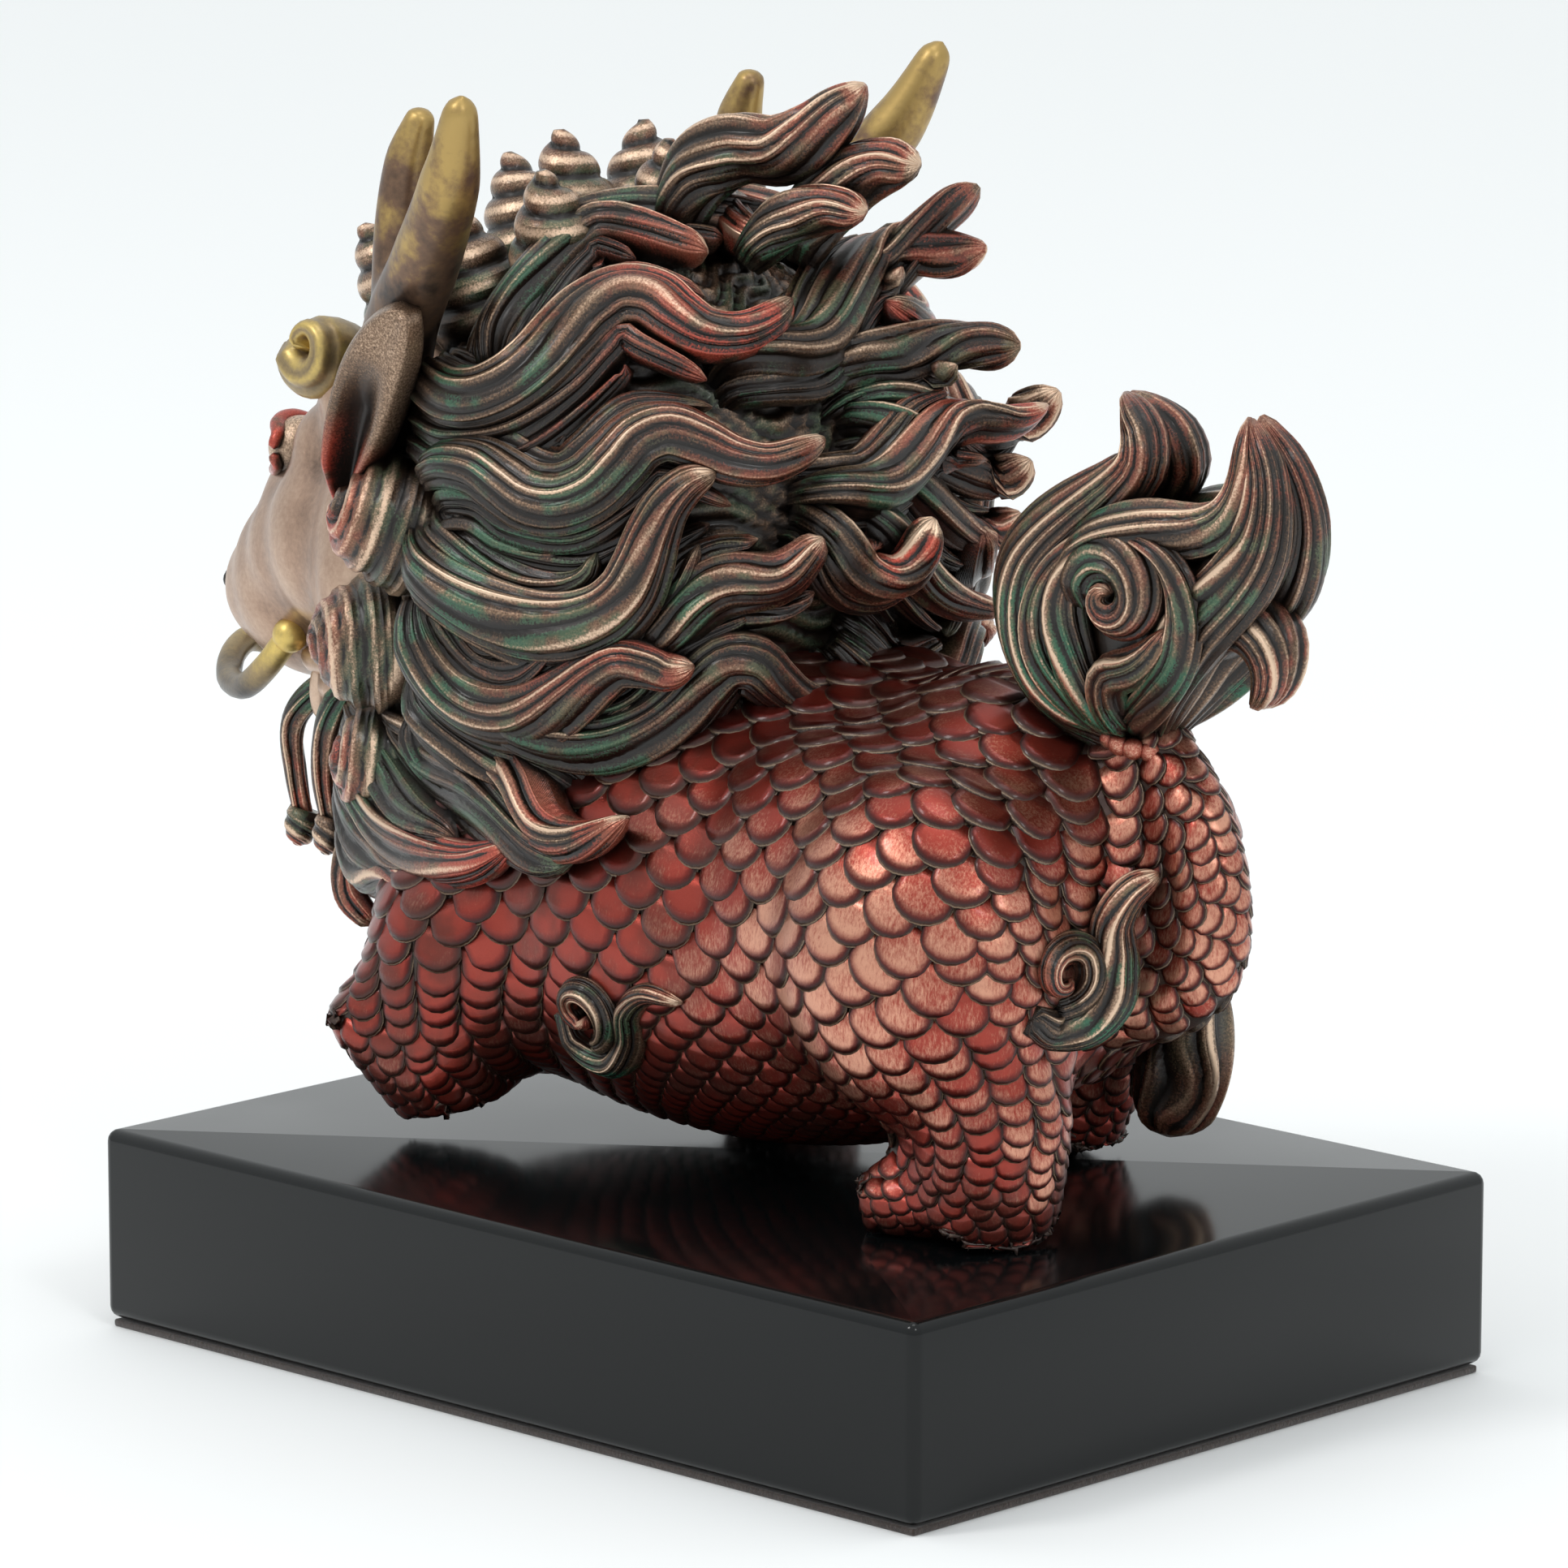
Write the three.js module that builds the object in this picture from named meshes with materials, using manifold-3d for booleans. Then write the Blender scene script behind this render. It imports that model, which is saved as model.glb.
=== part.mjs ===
// A cast qilin, walking, on a lacquered block with a felt underside.
// Millimetres, +Z up. The origin is the centre of the underside. The qilin faces -Y and its left is +X.
import * as THREE from 'three';
import { RoundedBoxGeometry } from 'three/addons/geometries/RoundedBoxGeometry.js';
import { mergeVertices } from 'three/addons/utils/BufferGeometryUtils.js';
import Module from 'manifold-3d';

const wasm = await Module();
wasm.setup();

// Block and felt
const plinthLength = 150;
const plinthWidth = 111;
const plinthHeight = 26.1;
const plinthEdge = 1.6;
const feltThickness = 1;
const feltInset = 0.8;
const seatGap = 0.3;

// Figure: its height from the soles to the horn tips, and the sizes that stand on their own
const figureHeight = 144;
const hornThickness = 10.4;
const ringThickness = 4.2;
const ringReach = 19.5;
const tailThickness = 10.6;
const lockThickness = 4.6;
const barbelThickness = 5;
const snailHeight = 13;

// One carving unit is 1 mm at the real height, so pose and carving keep their share of the figure
const drawnHeight = 144;
const unit = figureHeight / drawnHeight;
const at = (x, y, z) => new THREE.Vector3(x, y, z).multiplyScalar(unit);

// The mane is carved on an egg round the skull: its centre, its radii, and how deep the locks sit
const maneCentre = at(0, -24, 80.3);
const maneRadii = at(41, 41, 45);
const scalpDepth = 4.5 * unit;

// The far flank repeats the near one, turned round the mane and set a little lower
const mirrorTurn = 364;
const mirrorDrop = 3;

// Crown curls, in carving units: where the rows start, how far apart rows and curls stand, their half
// breadths, how deep they root, and how far below the crown the point is that they lean away from
const crownFront = -58;
const rowGap = 12;
const curlGap = 13;
const browCurlGirth = 4.4;
const curlGirth = 5.6;
const curlRoot = 3;
const curlFocus = 62;

// Where the ring leaves the nose, and how high its front hangs, in carving units
const nostril = -85;
const ringDrop = 52;

// How far a facet may stray when the casting is chased, the thinnest facet kept, and the cosine of the
// sharpest turn that a facet may take
const fineness = 0.35 * unit;
const sliverArea = 0.02 * unit * unit;
const straightest = 0.8;

const bronze = new THREE.MeshStandardMaterial({ color: '#7d5c4a', roughness: 0.42, metalness: 0.75 });
const lacquer = new THREE.MeshStandardMaterial({ color: '#1c2021', roughness: 0.22, metalness: 0.0 });
const felt = new THREE.MeshStandardMaterial({ color: '#2b211d', roughness: 0.95, metalness: 0.0 });

// Turns a closed geometry into a solid that can be joined and cut
function solid(geometry) {
  const bare = geometry.clone();
  bare.deleteAttribute('normal');
  bare.deleteAttribute('uv');
  const joined = mergeVertices(bare, 1e-4);
  const corners = joined.index.array;
  const kept = [];
  for (let i = 0; i < corners.length; i += 3) {
    const [a, b, c] = corners.slice(i, i + 3);
    if (a !== b && b !== c && c !== a) kept.push(a, b, c);
  }
  return new wasm.Manifold(new wasm.Mesh({
    numProp: 3,
    vertProperties: Float32Array.from(joined.attributes.position.array),
    triVerts: Uint32Array.from(kept),
  }));
}

// Closed skin over a row of rings, each a list of the same number of points, with a fan over each end
function skin(rings) {
  const sides = rings[0].length;
  const points = rings.flat();
  const faces = [];
  for (let r = 0; r + 1 < rings.length; r += 1) {
    for (let s = 0; s < sides; s += 1) {
      const a = r * sides + s;
      const b = r * sides + (s + 1) % sides;
      faces.push(a, b, b + sides, a, b + sides, a + sides);
    }
  }
  for (const [ring, turned] of [[0, true], [rings.length - 1, false]]) {
    const middle = points.length;
    points.push(rings[ring].reduce((sum, p) => sum.add(p), new THREE.Vector3()).divideScalar(sides));
    for (let s = 0; s < sides; s += 1) {
      const a = ring * sides + s;
      const b = ring * sides + (s + 1) % sides;
      faces.push(...(turned ? [b, a, middle] : [a, b, middle]));
    }
  }
  const geometry = new THREE.BufferGeometry().setFromPoints(points);
  geometry.setIndex(faces);
  return solid(geometry);
}

// Tapering limb along a smooth path. girth(t) gives half its breadth, its depth to the outside and,
// where that differs, to the inside; facing(point) gives the way the outside looks.
function limb(path, girth, facing, { sides = 8, steps = 6 } = {}) {
  const curve = new THREE.CatmullRomCurve3(path, false, 'centripetal');
  const rings = [];
  for (let i = 0; i <= steps; i += 1) {
    const t = i / steps;
    const middle = curve.getPointAt(t);
    const along = curve.getTangentAt(t);
    const depth = facing(middle).clone().addScaledVector(along, -facing(middle).dot(along)).normalize();
    const breadth = new THREE.Vector3().crossVectors(depth, along);
    const [halfBreadth, outer, inner = outer] = girth(t);
    const ring = [];
    for (let s = 0; s < sides; s += 1) {
      const turn = 2 * Math.PI * s / sides;
      ring.push(middle.clone()
        .addScaledVector(breadth, halfBreadth * Math.cos(turn))
        .addScaledVector(depth, (Math.sin(turn) > 0 ? outer : inner) * Math.sin(turn)));
    }
    rings.push(ring);
  }
  return skin(rings);
}

// Egg-shaped mass of muscle or bone
function mass([x, y, z], [rx, ry, rz], { around = 9, down = 7, turn = 0 } = {}) {
  const geometry = new THREE.SphereGeometry(1, around, down);
  geometry.rotateX(Math.PI / 2);
  geometry.scale(rx * unit, ry * unit, rz * unit);
  geometry.rotateZ(THREE.MathUtils.degToRad(turn));
  const middle = at(x, y, z);
  geometry.translate(middle.x, middle.y, middle.z);
  return solid(geometry);
}

// Straight-line blend through a row of values, for girths
function through(values) {
  return (t) => {
    const place = t * (values.length - 1);
    const i = Math.min(Math.floor(place), values.length - 2);
    return THREE.MathUtils.lerp(values[i], values[i + 1], place - i);
  };
}

// Round limb whose half girths, in carving units, follow its points
function roundLimb(points, girths, options) {
  const girth = through(girths);
  const path = points.map((p) => at(...p));
  const side = new THREE.Vector3(1, 0.13, 0.07);
  return limb(path, (t) => [girth(t) * unit, girth(t) * unit], () => side, options);
}

// Point on the mane: turn is degrees round from the face towards the left ear, rise is degrees up
function manePoint(turn, rise, lift) {
  const round = THREE.MathUtils.degToRad(turn);
  const up = THREE.MathUtils.degToRad(rise);
  const flat = Math.cos(up);
  const way = new THREE.Vector3(Math.sin(round) * flat, -Math.cos(round) * flat, Math.sin(up));
  const reach = 1 + lift * unit / maneRadii.x;
  return way.multiply(maneRadii).multiplyScalar(reach).add(maneCentre);
}
const offMane = (point) => point.clone().sub(maneCentre).normalize();

// One lock of hair: it leaves the mane, waves over it and lifts at its rounded tip
function lock([width, flare, ...stations], mirrored = false) {
  const path = stations.map(([turn, rise], i) => {
    const t = i / (stations.length - 1);
    const rest = flare * t * t;
    return mirrored ? manePoint(mirrorTurn - turn, rise - mirrorDrop, rest) : manePoint(turn, rise, rest);
  });
  const girth = (t) => {
    const swell = (0.62 + 1.5 * t * (1 - t)) * (1 - 0.5 * t * t);
    const crest = lockThickness / 2 * (1 - 0.3 * t * t);
    const keel = crest + scalpDepth * (1 - t ** 3);
    return [width / 2 * swell * unit, crest, keel];
  };
  const length = new THREE.CatmullRomCurve3(path).getLength();
  const steps = Math.max(4, Math.round(length / (8 * unit)));
  return limb(path, girth, offMane, { sides: 6, steps });
}

// Locks of the flank: breadth, flare of the tip, then turn and rise of each bend
const flankLocks = [
  [9, 3, [90, 41], [90, 53], [93, 72], [131, 68], [146, 61], [155, 57]],
  [15, 5, [72, 32], [91, 29], [105, 35], [116, 48], [130, 52], [144, 41], [156, 40], [172, 47]],
  [10, 3, [70, 70], [120, 80], [175, 76], [190, 68], [191, 62]],
  [13, 5, [85, 17], [98, 19], [111, 13], [122, 15], [134, 26], [152, 18], [169, 23]],
  [17, 5, [84, 1], [99, -5], [117, -8], [129, -3], [135, 12], [140, 17], [148, 18]],
  [11, 6, [136, -8], [146, 0], [156, 1], [163, 8]],
  [15, 5, [80, -12], [89, -23], [106, -25], [121, -17], [129, -11], [136, -14], [143, -10]],
  [16, 5, [102, -26], [123, -30], [138, -24], [149, -11], [159, -19], [174, -20]],
  [14, 5, [76, -27], [91, -36], [110, -40], [114, -48], [125, -45], [134, -37]],
  [9, 4, [64, -36], [75, -47], [88, -50], [97, -47], [106, -47]],
  [8, 4, [52, -44], [60, -54], [74, -54], [82, -58]],
];

// Locks of the nape, which stream out behind and aren't mirrored
const napeLocks = [
  [11, 20, [156, 40], [172, 38], [190, 47], [206, 49], [206, 41], [203, 38]],
  [11, 17, [184, 36], [196, 34], [203, 31], [204, 26]],
  [8, 22, [190, 50], [200, 48], [207, 47], [211, 45]],
  [10, 18, [170, 14], [180, 13], [187, 17], [194, 21], [200, 18], [205, 19]],
  [9, 9, [168, 7], [173, 0], [179, 0], [182, 9]],
  [9, 18, [190, 28], [202, 22], [211, 17], [211, 20]],
  [9, 13, [188, 24], [199, 16], [207, 10], [206, 13]],
  [9, 10, [186, 16], [198, 6], [208, 2], [209, 6]],
  [9, 8, [180, 8], [190, -2], [201, -8], [207, -8]],
  [10, 6, [176, -16], [188, -24], [200, -20], [212, -26]],
];

// Small curl of the crown, a cone in three coils like a snail's shell
function snail(x, y, girth) {
  const sides = 6;
  const coils = [1, 1.05, 0.72, 0.8, 0.48, 0.52, 0.15];
  const steps = coils.length - 1;
  const side = at(x, y, 0).sub(maneCentre);
  const lean = new THREE.Vector3(side.x, side.y, curlFocus * unit).normalize();
  const across = new THREE.Vector3(0, 1, 0).cross(lean).normalize();
  const ahead = new THREE.Vector3().crossVectors(lean, across);
  const bare = maneRadii.clone().subScalar(scalpDepth);
  const height = bare.z * Math.sqrt(1 - (side.x / bare.x) ** 2 - (side.y / bare.y) ** 2);
  const foot = new THREE.Vector3(side.x, side.y, height).add(maneCentre)
    .addScaledVector(lean, -curlRoot * unit);
  const tall = (snailHeight + curlRoot) * unit;
  const rings = [];
  for (let i = 0; i <= steps; i += 1) {
    const t = i / steps;
    const ring = [];
    for (let s = 0; s < sides; s += 1) {
      const turn = s / sides;
      const radius = girth * unit * coils[i];
      ring.push(foot.clone()
        .addScaledVector(lean, tall * t)
        .addScaledVector(across, radius * Math.cos(2 * Math.PI * turn))
        .addScaledVector(ahead, radius * Math.sin(2 * Math.PI * turn)));
    }
    rings.push(ring);
  }
  return skin(rings);
}

// Spiral roll of hair over a low dome that looks along normal; hand is which way it winds
function volute(centre, normal, radius, tube, hand = 1, { coils = 1.2, start = 0 } = {}) {
  const look = new THREE.Vector3(...normal).normalize();
  const right = new THREE.Vector3(0, 0, 1).cross(look).normalize();
  const up = new THREE.Vector3().crossVectors(look, right);
  const path = [];
  const bends = 8;
  for (let i = 0; i <= bends; i += 1) {
    const t = i / bends;
    const turn = hand * 2 * Math.PI * (start + coils * t);
    const reach = radius * (1 - 0.72 * t) * unit;
    path.push(at(...centre)
      .addScaledVector(right, reach * Math.cos(turn))
      .addScaledVector(up, reach * Math.sin(turn))
      .addScaledVector(look, 0.25 * radius * t * unit));
  }
  const girth = (t) => [tube * (1 - 0.4 * t) * unit, tube * unit];
  return limb(path, girth, () => look, { sides: 5, steps: 11 });
}

// Flame of hair: a flat, pointed lock through free points, broad side looking along normal
function flame(points, width, depth, normal, steps = 7) {
  const look = new THREE.Vector3(...normal);
  const girth = (t) => {
    const swell = (0.5 + 2 * t * (1 - t)) * (1 - 0.6 * t * t);
    return [width / 2 * swell * unit, depth / 2 * (1 - 0.5 * t * t) * unit];
  };
  return limb(points.map((p) => at(...p)), girth, () => look, { sides: 6, steps });
}

// The same form on both sides of the body; flip turns a point to the side
const bothSides = (make) => [1, -1].flatMap((flip) => make(flip, (x, y, z) => [flip * x, y, z]));

function trunk() {
  return [
    mass([0, -4, 36.3], [34, 62, 34.5], { around: 20, down: 12 }),
    mass([0, -48, 42], [25, 20, 26], { around: 12, down: 9 }),
    mass([0, 40, 42], [27, 26, 28], { around: 12, down: 9 }),
    mass([24, 46, 38], [13, 20, 23], { around: 12, down: 9, turn: 10 }),
    mass([-24, 36, 38], [13, 20, 23], { around: 12, down: 9 }),
    mass([21, -30, 32], [14, 20, 21], { around: 12, down: 9 }),
    mass([-22, -24, 34], [13, 18, 22], { around: 12, down: 9 }),
  ];
}

function legs() {
  return [
    roundLimb([[21, 49, 30], [19, 54, 18], [18, 53, 8], [17, 50, 0.5]], [14, 10.2, 9.6, 9.4]),
    roundLimb([[15, 53, 5], [21, 45, 5.5], [26, 39, 5], [29, 35, 4.5]], [7, 8, 7, 3]),
    roundLimb([[-24, 32, 30], [-27, 29, 17], [-27, 26, 8], [-27, 23, 0.5]], [14, 10, 9.2, 8.6]),
    roundLimb([[-25, 28, 5], [-28, 18, 5.5], [-31, 12, 5], [-33, 8, 4.5]], [7, 8, 7, 3]),
    roundLimb([[21, -34, 30], [24, -38, 18], [25, -39, 8], [24, -38, 0.5]], [16, 14, 11, 6.5]),
    roundLimb([[25, -38, 11], [30, -44, 15], [35, -49, 19], [37, -51, 21]], [11, 9.5, 6.5, 3]),
    roundLimb([[-22, -26, 30], [-25, -24, 17], [-25, -23, 8], [-25, -22, 0.5]], [14, 10, 9, 8.5]),
    roundLimb([[-24, -22, 5], [-27, -31, 5.5], [-29, -37, 5], [-30, -41, 4.5]], [7, 8, 7, 3]),
  ];
}

function tail() {
  const bend = [[0, 58, 30], [0, 67, 31], [0, 73, 36], [0, 74, 45], [0, 71, 55], [0, 66, 62], [0, 61, 68]];
  const girth = through([1.1, 1.05, 1, 1, 0.95, 0.85, 0.75]);
  const half = tailThickness / 2;
  const side = new THREE.Vector3(1, 0, 0);
  return [
    limb(bend.map((p) => at(...p)), (t) => [half * girth(t), half * girth(t)], () => side, { steps: 8 }),
    mass([0, 59, 80], [9, 13, 14]),
    flame([[0, 58, 70], [1, 48, 78], [1, 54, 89], [1, 63, 96], [0, 60, 106]], 14, 10, [1, 0, 0]),
    flame([[0, 61, 74], [-1, 76, 84], [-1, 86, 93], [-1, 87, 100], [0, 82, 106]], 14, 10, [1, 0, 0]),
    flame([[0, 60, 76], [1, 75, 79], [1, 83, 78], [0, 81, 70]], 11, 9, [1, 0, 0], 5),
    volute([8, 62, 83], [1, 0.15, 0], 7, 2, 1, { start: 0.5 }),
    volute([-8, 62, 83], [-1, 0.15, 0], 7, 2, -1, { start: 0.5 }),
  ];
}

function legCurls() {
  return [
    volute([30.5, -3, 23], [1, 0, -0.1], 5, 1.5, 1),
    flame([[29, -6, 17], [31, 2, 18], [32, 7, 26], [31, 14, 28]], 7, 5, [1, 0, -0.2], 5),
    volute([-30.5, 0, 23], [-1, 0, -0.1], 5, 1.5, -1),
    flame([[-29, -3, 17], [-31, 5, 18], [-32, 10, 26], [-31, 17, 28]], 7, 5, [-1, 0, -0.2], 5),
    volute([13, 62, 36], [0.45, 0.9, 0], 4.8, 1.5, 1),
    flame([[17, 59, 29], [11, 63, 30], [6, 65, 37], [5, 65, 43], [3, 67, 48]], 9, 5, [0.45, 0.9, 0], 5),
    flame([[-26, 42, 26], [-25, 45, 14], [-26, 46, 9], [-27, 50, 13], [-26, 51, 23]], 12, 9, [1, 0.6, 0], 6),
  ];
}

function face() {
  return [
    mass([0, -58, 74], [28, 17, 27]),
    mass([0, -64, 93], [22, 11, 11]),
    roundLimb([[0, -66, 93], [0, -80, 80], [0, -89, 68]], [9, 10, 12]),
    mass([0, -91, 66], [14, 11, 10.5], { around: 12, down: 9 }),
    mass([0, -71, 55], [22, 14, 9]),
    mass([0, -65, 44], [17, 14, 9]),
    ...bothSides((flip, to) => [
      mass(to(14, -75, 88), [7, 6, 6.5]),
      mass(to(17, -67, 100), [7, 6, 6.5]),
      volute(to(18, -72, 101), [flip * 0.5, -1, 0.2], 4.5, 1.7, -flip),
      flame([to(33, -50, 82), to(35, -46, 92), to(38, -38, 104), to(40, -30, 114)], 15, 7, [flip, 0.15, 0]),
      volute(to(37, -41, 85), [flip, -0.35, 0], 5.6, 1.8, -flip),
      mass(to(33, -38, 83), [7, 10, 10]),
      volute(to(32, -53, 70), [flip, -0.5, 0], 6, 1.9, -flip),
      mass(to(28, -51, 66), [8, 9, 11]),
      volute(to(27, -56, 51), [flip, -0.6, -0.2], 6, 1.9, -flip),
      mass(to(23, -52, 49), [9, 10, 9]),
      barbel([to(12, -74, 57), to(13, -82, 49), to(13, -82, 42), to(12, -81, 34)]),
      barbel([to(18, -66, 57), to(18, -70, 50), to(18, -71, 43), to(17, -70, 35)]),
      flame([to(6, -62, 42), to(9, -72, 36), to(12, -72, 28)], 8, 5, [0, -1, 0], 4),
    ]),
  ];
}

// Fleshy whisker that hangs from the lip and ends in a bead
function barbel(points) {
  const girth = through([0.8, 0.75, 1.25, 0.7]);
  const half = barbelThickness / 2;
  return limb(points.map((p) => at(...p)), (t) => [half * girth(t), half * girth(t)],
    () => new THREE.Vector3(1, 0, 0), { sides: 5, steps: 4 });
}

function horns() {
  const half = hornThickness / 2;
  const rear = through([1.05, 1, 0.95, 0.88, 0.78, 0.36]);
  const front = through([0.9, 0.78, 0.7, 0.6, 0.3]);
  return bothSides((flip, to) => {
    const side = new THREE.Vector3(flip, 0.4, 0);
    const root = [to(28, -47, 98), to(33, -39, 110)];
    const back = [...root, to(37, -30, 120), to(42, -20, 132), to(45, -14.5, 143.5)];
    const fore = [to(32, -39, 113), to(31.5, -40, 122), to(31, -39.5, 131), to(31, -36.5, 139)];
    return [[back, rear], [fore, front]].map(([points, girth]) => limb(points.map((p) => at(...p)),
      (t) => [half * girth(t), half * girth(t)], () => side, { sides: 6, steps: 6 }));
  });
}

function noseRing() {
  const path = [[7, 0, 61], [12, 0.15, 54], [12, 0.46, ringDrop - 0.6], [8, 0.82, ringDrop]];
  const ahead = (share) => nostril - share * ringReach / unit;
  const left = path.map(([x, share, z]) => [x, ahead(share), z]);
  const whole = [...left, [0, ahead(1), ringDrop], ...left.map(([x, y, z]) => [-x, y, z]).reverse()];
  const half = ringThickness / 2;
  const outward = () => new THREE.Vector3(0, 0.2, 1);
  return limb(whole.map((p) => at(...p)), () => [half, half], outward, { sides: 6, steps: 12 });
}

function crown() {
  const curls = [];
  for (let row = 0; row < 5; row += 1) {
    const y = crownFront + rowGap * row;
    const count = row % 2 === 0 ? 3 : 2;
    for (let i = 0; i < count; i += 1) {
      const x = curlGap * (i - (count - 1) / 2);
      curls.push(snail(x, y, row === 0 ? browCurlGirth : curlGirth));
    }
  }
  return [
    ...curls,
    flame([[5, -16, 119], [3, -10, 130], [-4, 0, 136], [-8, 7, 143]], 13, 9, [1, 0, -0.6]),
    flame([[-7, 0, 116], [-7, 5, 125], [-8, 11, 130], [-10, 17, 136]], 11, 8, [1, 0, -0.6], 5),
  ];
}

function mane() {
  const scalp = new THREE.SphereGeometry(1, 20, 12);
  scalp.rotateX(Math.PI / 2);
  scalp.scale(maneRadii.x - scalpDepth, maneRadii.y - scalpDepth, maneRadii.z - scalpDepth);
  scalp.translate(maneCentre.x, maneCentre.y, maneCentre.z);
  return [
    solid(scalp),
    ...flankLocks.map((row) => lock(row)),
    ...flankLocks.map((row) => lock(row, true)),
    ...napeLocks.map((row) => lock(row)),
  ];
}

// Keeps the outer skin of a casting, so that no pocket is left closed in between overlapping locks
function outerSkin(mesh) {
  const corners = mesh.triVerts;
  const owner = Array.from({ length: mesh.vertProperties.length / 3 }, (_, i) => i);
  const root = (i) => {
    while (owner[i] !== i) {
      owner[i] = owner[owner[i]];
      i = owner[i];
    }
    return i;
  };
  for (let i = 0; i < corners.length; i += 3) {
    owner[root(corners[i])] = root(corners[i + 1]);
    owner[root(corners[i + 1])] = root(corners[i + 2]);
  }
  const shells = new Map();
  for (let i = 0; i < corners.length; i += 3) {
    const key = root(corners[i]);
    if (!shells.has(key)) shells.set(key, []);
    shells.get(key).push([corners[i], corners[i + 1], corners[i + 2]]);
  }
  return [...shells.values()].sort((a, b) => b.length - a.length)[0];
}

// Chases the casting: where joining left needless corners, a corner slides along an edge onto its
// neighbour, if every face round it stays within fineness of where it was and none folds over
function chased(mesh) {
  const points = [];
  for (let i = 0; i < mesh.vertProperties.length; i += 3) {
    points.push(new THREE.Vector3(...mesh.vertProperties.slice(i, i + 3)));
  }
  const faces = outerSkin(mesh);
  const around = points.map(() => new Set());
  faces.forEach((face, f) => face.forEach((corner) => around[corner].add(f)));
  const neighbours = (corner) => new Set([...around[corner]].flatMap((f) => faces[f]));
  const normal = ([a, b, c]) => new THREE.Vector3()
    .crossVectors(points[b].clone().sub(points[a]), points[c].clone().sub(points[a]));

  const slideError = (from, onto) => {
    let worst = 0;
    for (const f of around[from]) {
      if (faces[f].includes(onto)) continue;
      const before = normal(faces[f]);
      const after = normal(faces[f].map((corner) => (corner === from ? onto : corner)));
      const size = after.length();
      if (size < sliverArea || before.dot(after) < straightest * before.length() * size) return Infinity;
      worst = Math.max(worst, Math.abs(after.dot(points[from].clone().sub(points[onto]))) / size);
    }
    return worst;
  };

  for (let pass = 0; pass < 6; pass += 1) {
    for (let from = 0; from < points.length; from += 1) {
      if (around[from].size === 0) continue;
      const near = neighbours(from);
      let best = [fineness, -1];
      for (const onto of near) {
        if (onto === from) continue;
        const shared = [...neighbours(onto)].filter((corner) => near.has(corner)).length - 2;
        if (shared !== 2) continue;
        const error = slideError(from, onto);
        if (error < best[0]) best = [error, onto];
      }
      if (best[1] < 0) continue;
      for (const f of [...around[from]]) {
        if (faces[f].includes(best[1])) {
          faces[f].forEach((corner) => around[corner].delete(f));
          faces[f] = null;
        } else {
          faces[f] = faces[f].map((corner) => (corner === from ? best[1] : corner));
          around[best[1]].add(f);
        }
      }
      around[from].clear();
    }
  }
  const geometry = new THREE.BufferGeometry().setFromPoints(points);
  geometry.setIndex(faces.filter((face) => face).flat());
  return mergeVertices(geometry.toNonIndexed(), 1e-5);
}

function figure() {
  const forms = [trunk(), legs(), tail(), legCurls(), face(), horns(), noseRing(), crown(), mane()].flat();
  const casting = forms.reduce((whole, form) => whole.add(form));
  const cutter = 2 * figureHeight;
  const below = new THREE.BoxGeometry(cutter, cutter, cutter);
  below.translate(0, 0, -cutter / 2);
  const cast = new THREE.Mesh(chased(casting.subtract(solid(below)).getMesh()), bronze);
  cast.name = 'figure';
  cast.position.z = feltThickness + seatGap + plinthHeight + seatGap;
  return cast;
}

function plinth() {
  const block = new RoundedBoxGeometry(plinthWidth, plinthLength, plinthHeight, 2, plinthEdge);
  const mesh = new THREE.Mesh(block, lacquer);
  mesh.name = 'plinth';
  mesh.position.z = feltThickness + seatGap + plinthHeight / 2;
  return mesh;
}

function feltPad() {
  const inset = 2 * feltInset;
  const pad = new THREE.BoxGeometry(plinthWidth - inset, plinthLength - inset, feltThickness);
  const mesh = new THREE.Mesh(pad, felt);
  mesh.name = 'felt_pad';
  mesh.position.z = feltThickness / 2;
  return mesh;
}

const ornament = new THREE.Group();
ornament.add(figure(), plinth(), feltPad());
export default ornament;
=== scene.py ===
import math

import bpy
import numpy as np
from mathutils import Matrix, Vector
from mathutils.bvhtree import BVHTree


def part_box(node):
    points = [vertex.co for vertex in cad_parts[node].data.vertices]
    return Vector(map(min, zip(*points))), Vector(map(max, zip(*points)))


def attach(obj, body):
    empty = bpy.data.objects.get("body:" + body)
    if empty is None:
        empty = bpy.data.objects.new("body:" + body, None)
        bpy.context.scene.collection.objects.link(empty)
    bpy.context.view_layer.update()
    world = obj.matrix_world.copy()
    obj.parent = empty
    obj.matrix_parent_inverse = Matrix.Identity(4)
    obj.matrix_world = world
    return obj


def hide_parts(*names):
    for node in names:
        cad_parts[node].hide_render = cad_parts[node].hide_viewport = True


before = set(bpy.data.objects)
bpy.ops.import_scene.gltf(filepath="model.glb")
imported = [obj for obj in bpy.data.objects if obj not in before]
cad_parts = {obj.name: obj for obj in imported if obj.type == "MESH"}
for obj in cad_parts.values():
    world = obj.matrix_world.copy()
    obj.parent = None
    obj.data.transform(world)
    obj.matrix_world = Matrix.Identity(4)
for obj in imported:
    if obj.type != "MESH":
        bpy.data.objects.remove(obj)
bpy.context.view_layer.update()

# A qilin cast in cold-cast bronze resin, on a black lacquered block with a felt underside.
# The figure is carved in units of about a millimetre, measured up from its soles. It faces -Y, and its
# left side, the one that the photograph shows, is on +X.
figure_low, figure_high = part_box("figure")
plinth_low, plinth_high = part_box("plinth")
felt_low, felt_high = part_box("felt_pad")
DRAWN_HEIGHT = 144.37
UNIT = (figure_high.z - figure_low.z) / DRAWN_HEIGHT
SOLES = figure_low.z
MM = 0.001
BLOCK_EDGE = 1.6 * MM
FELT_EDGE = 0.3 * MM

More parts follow.
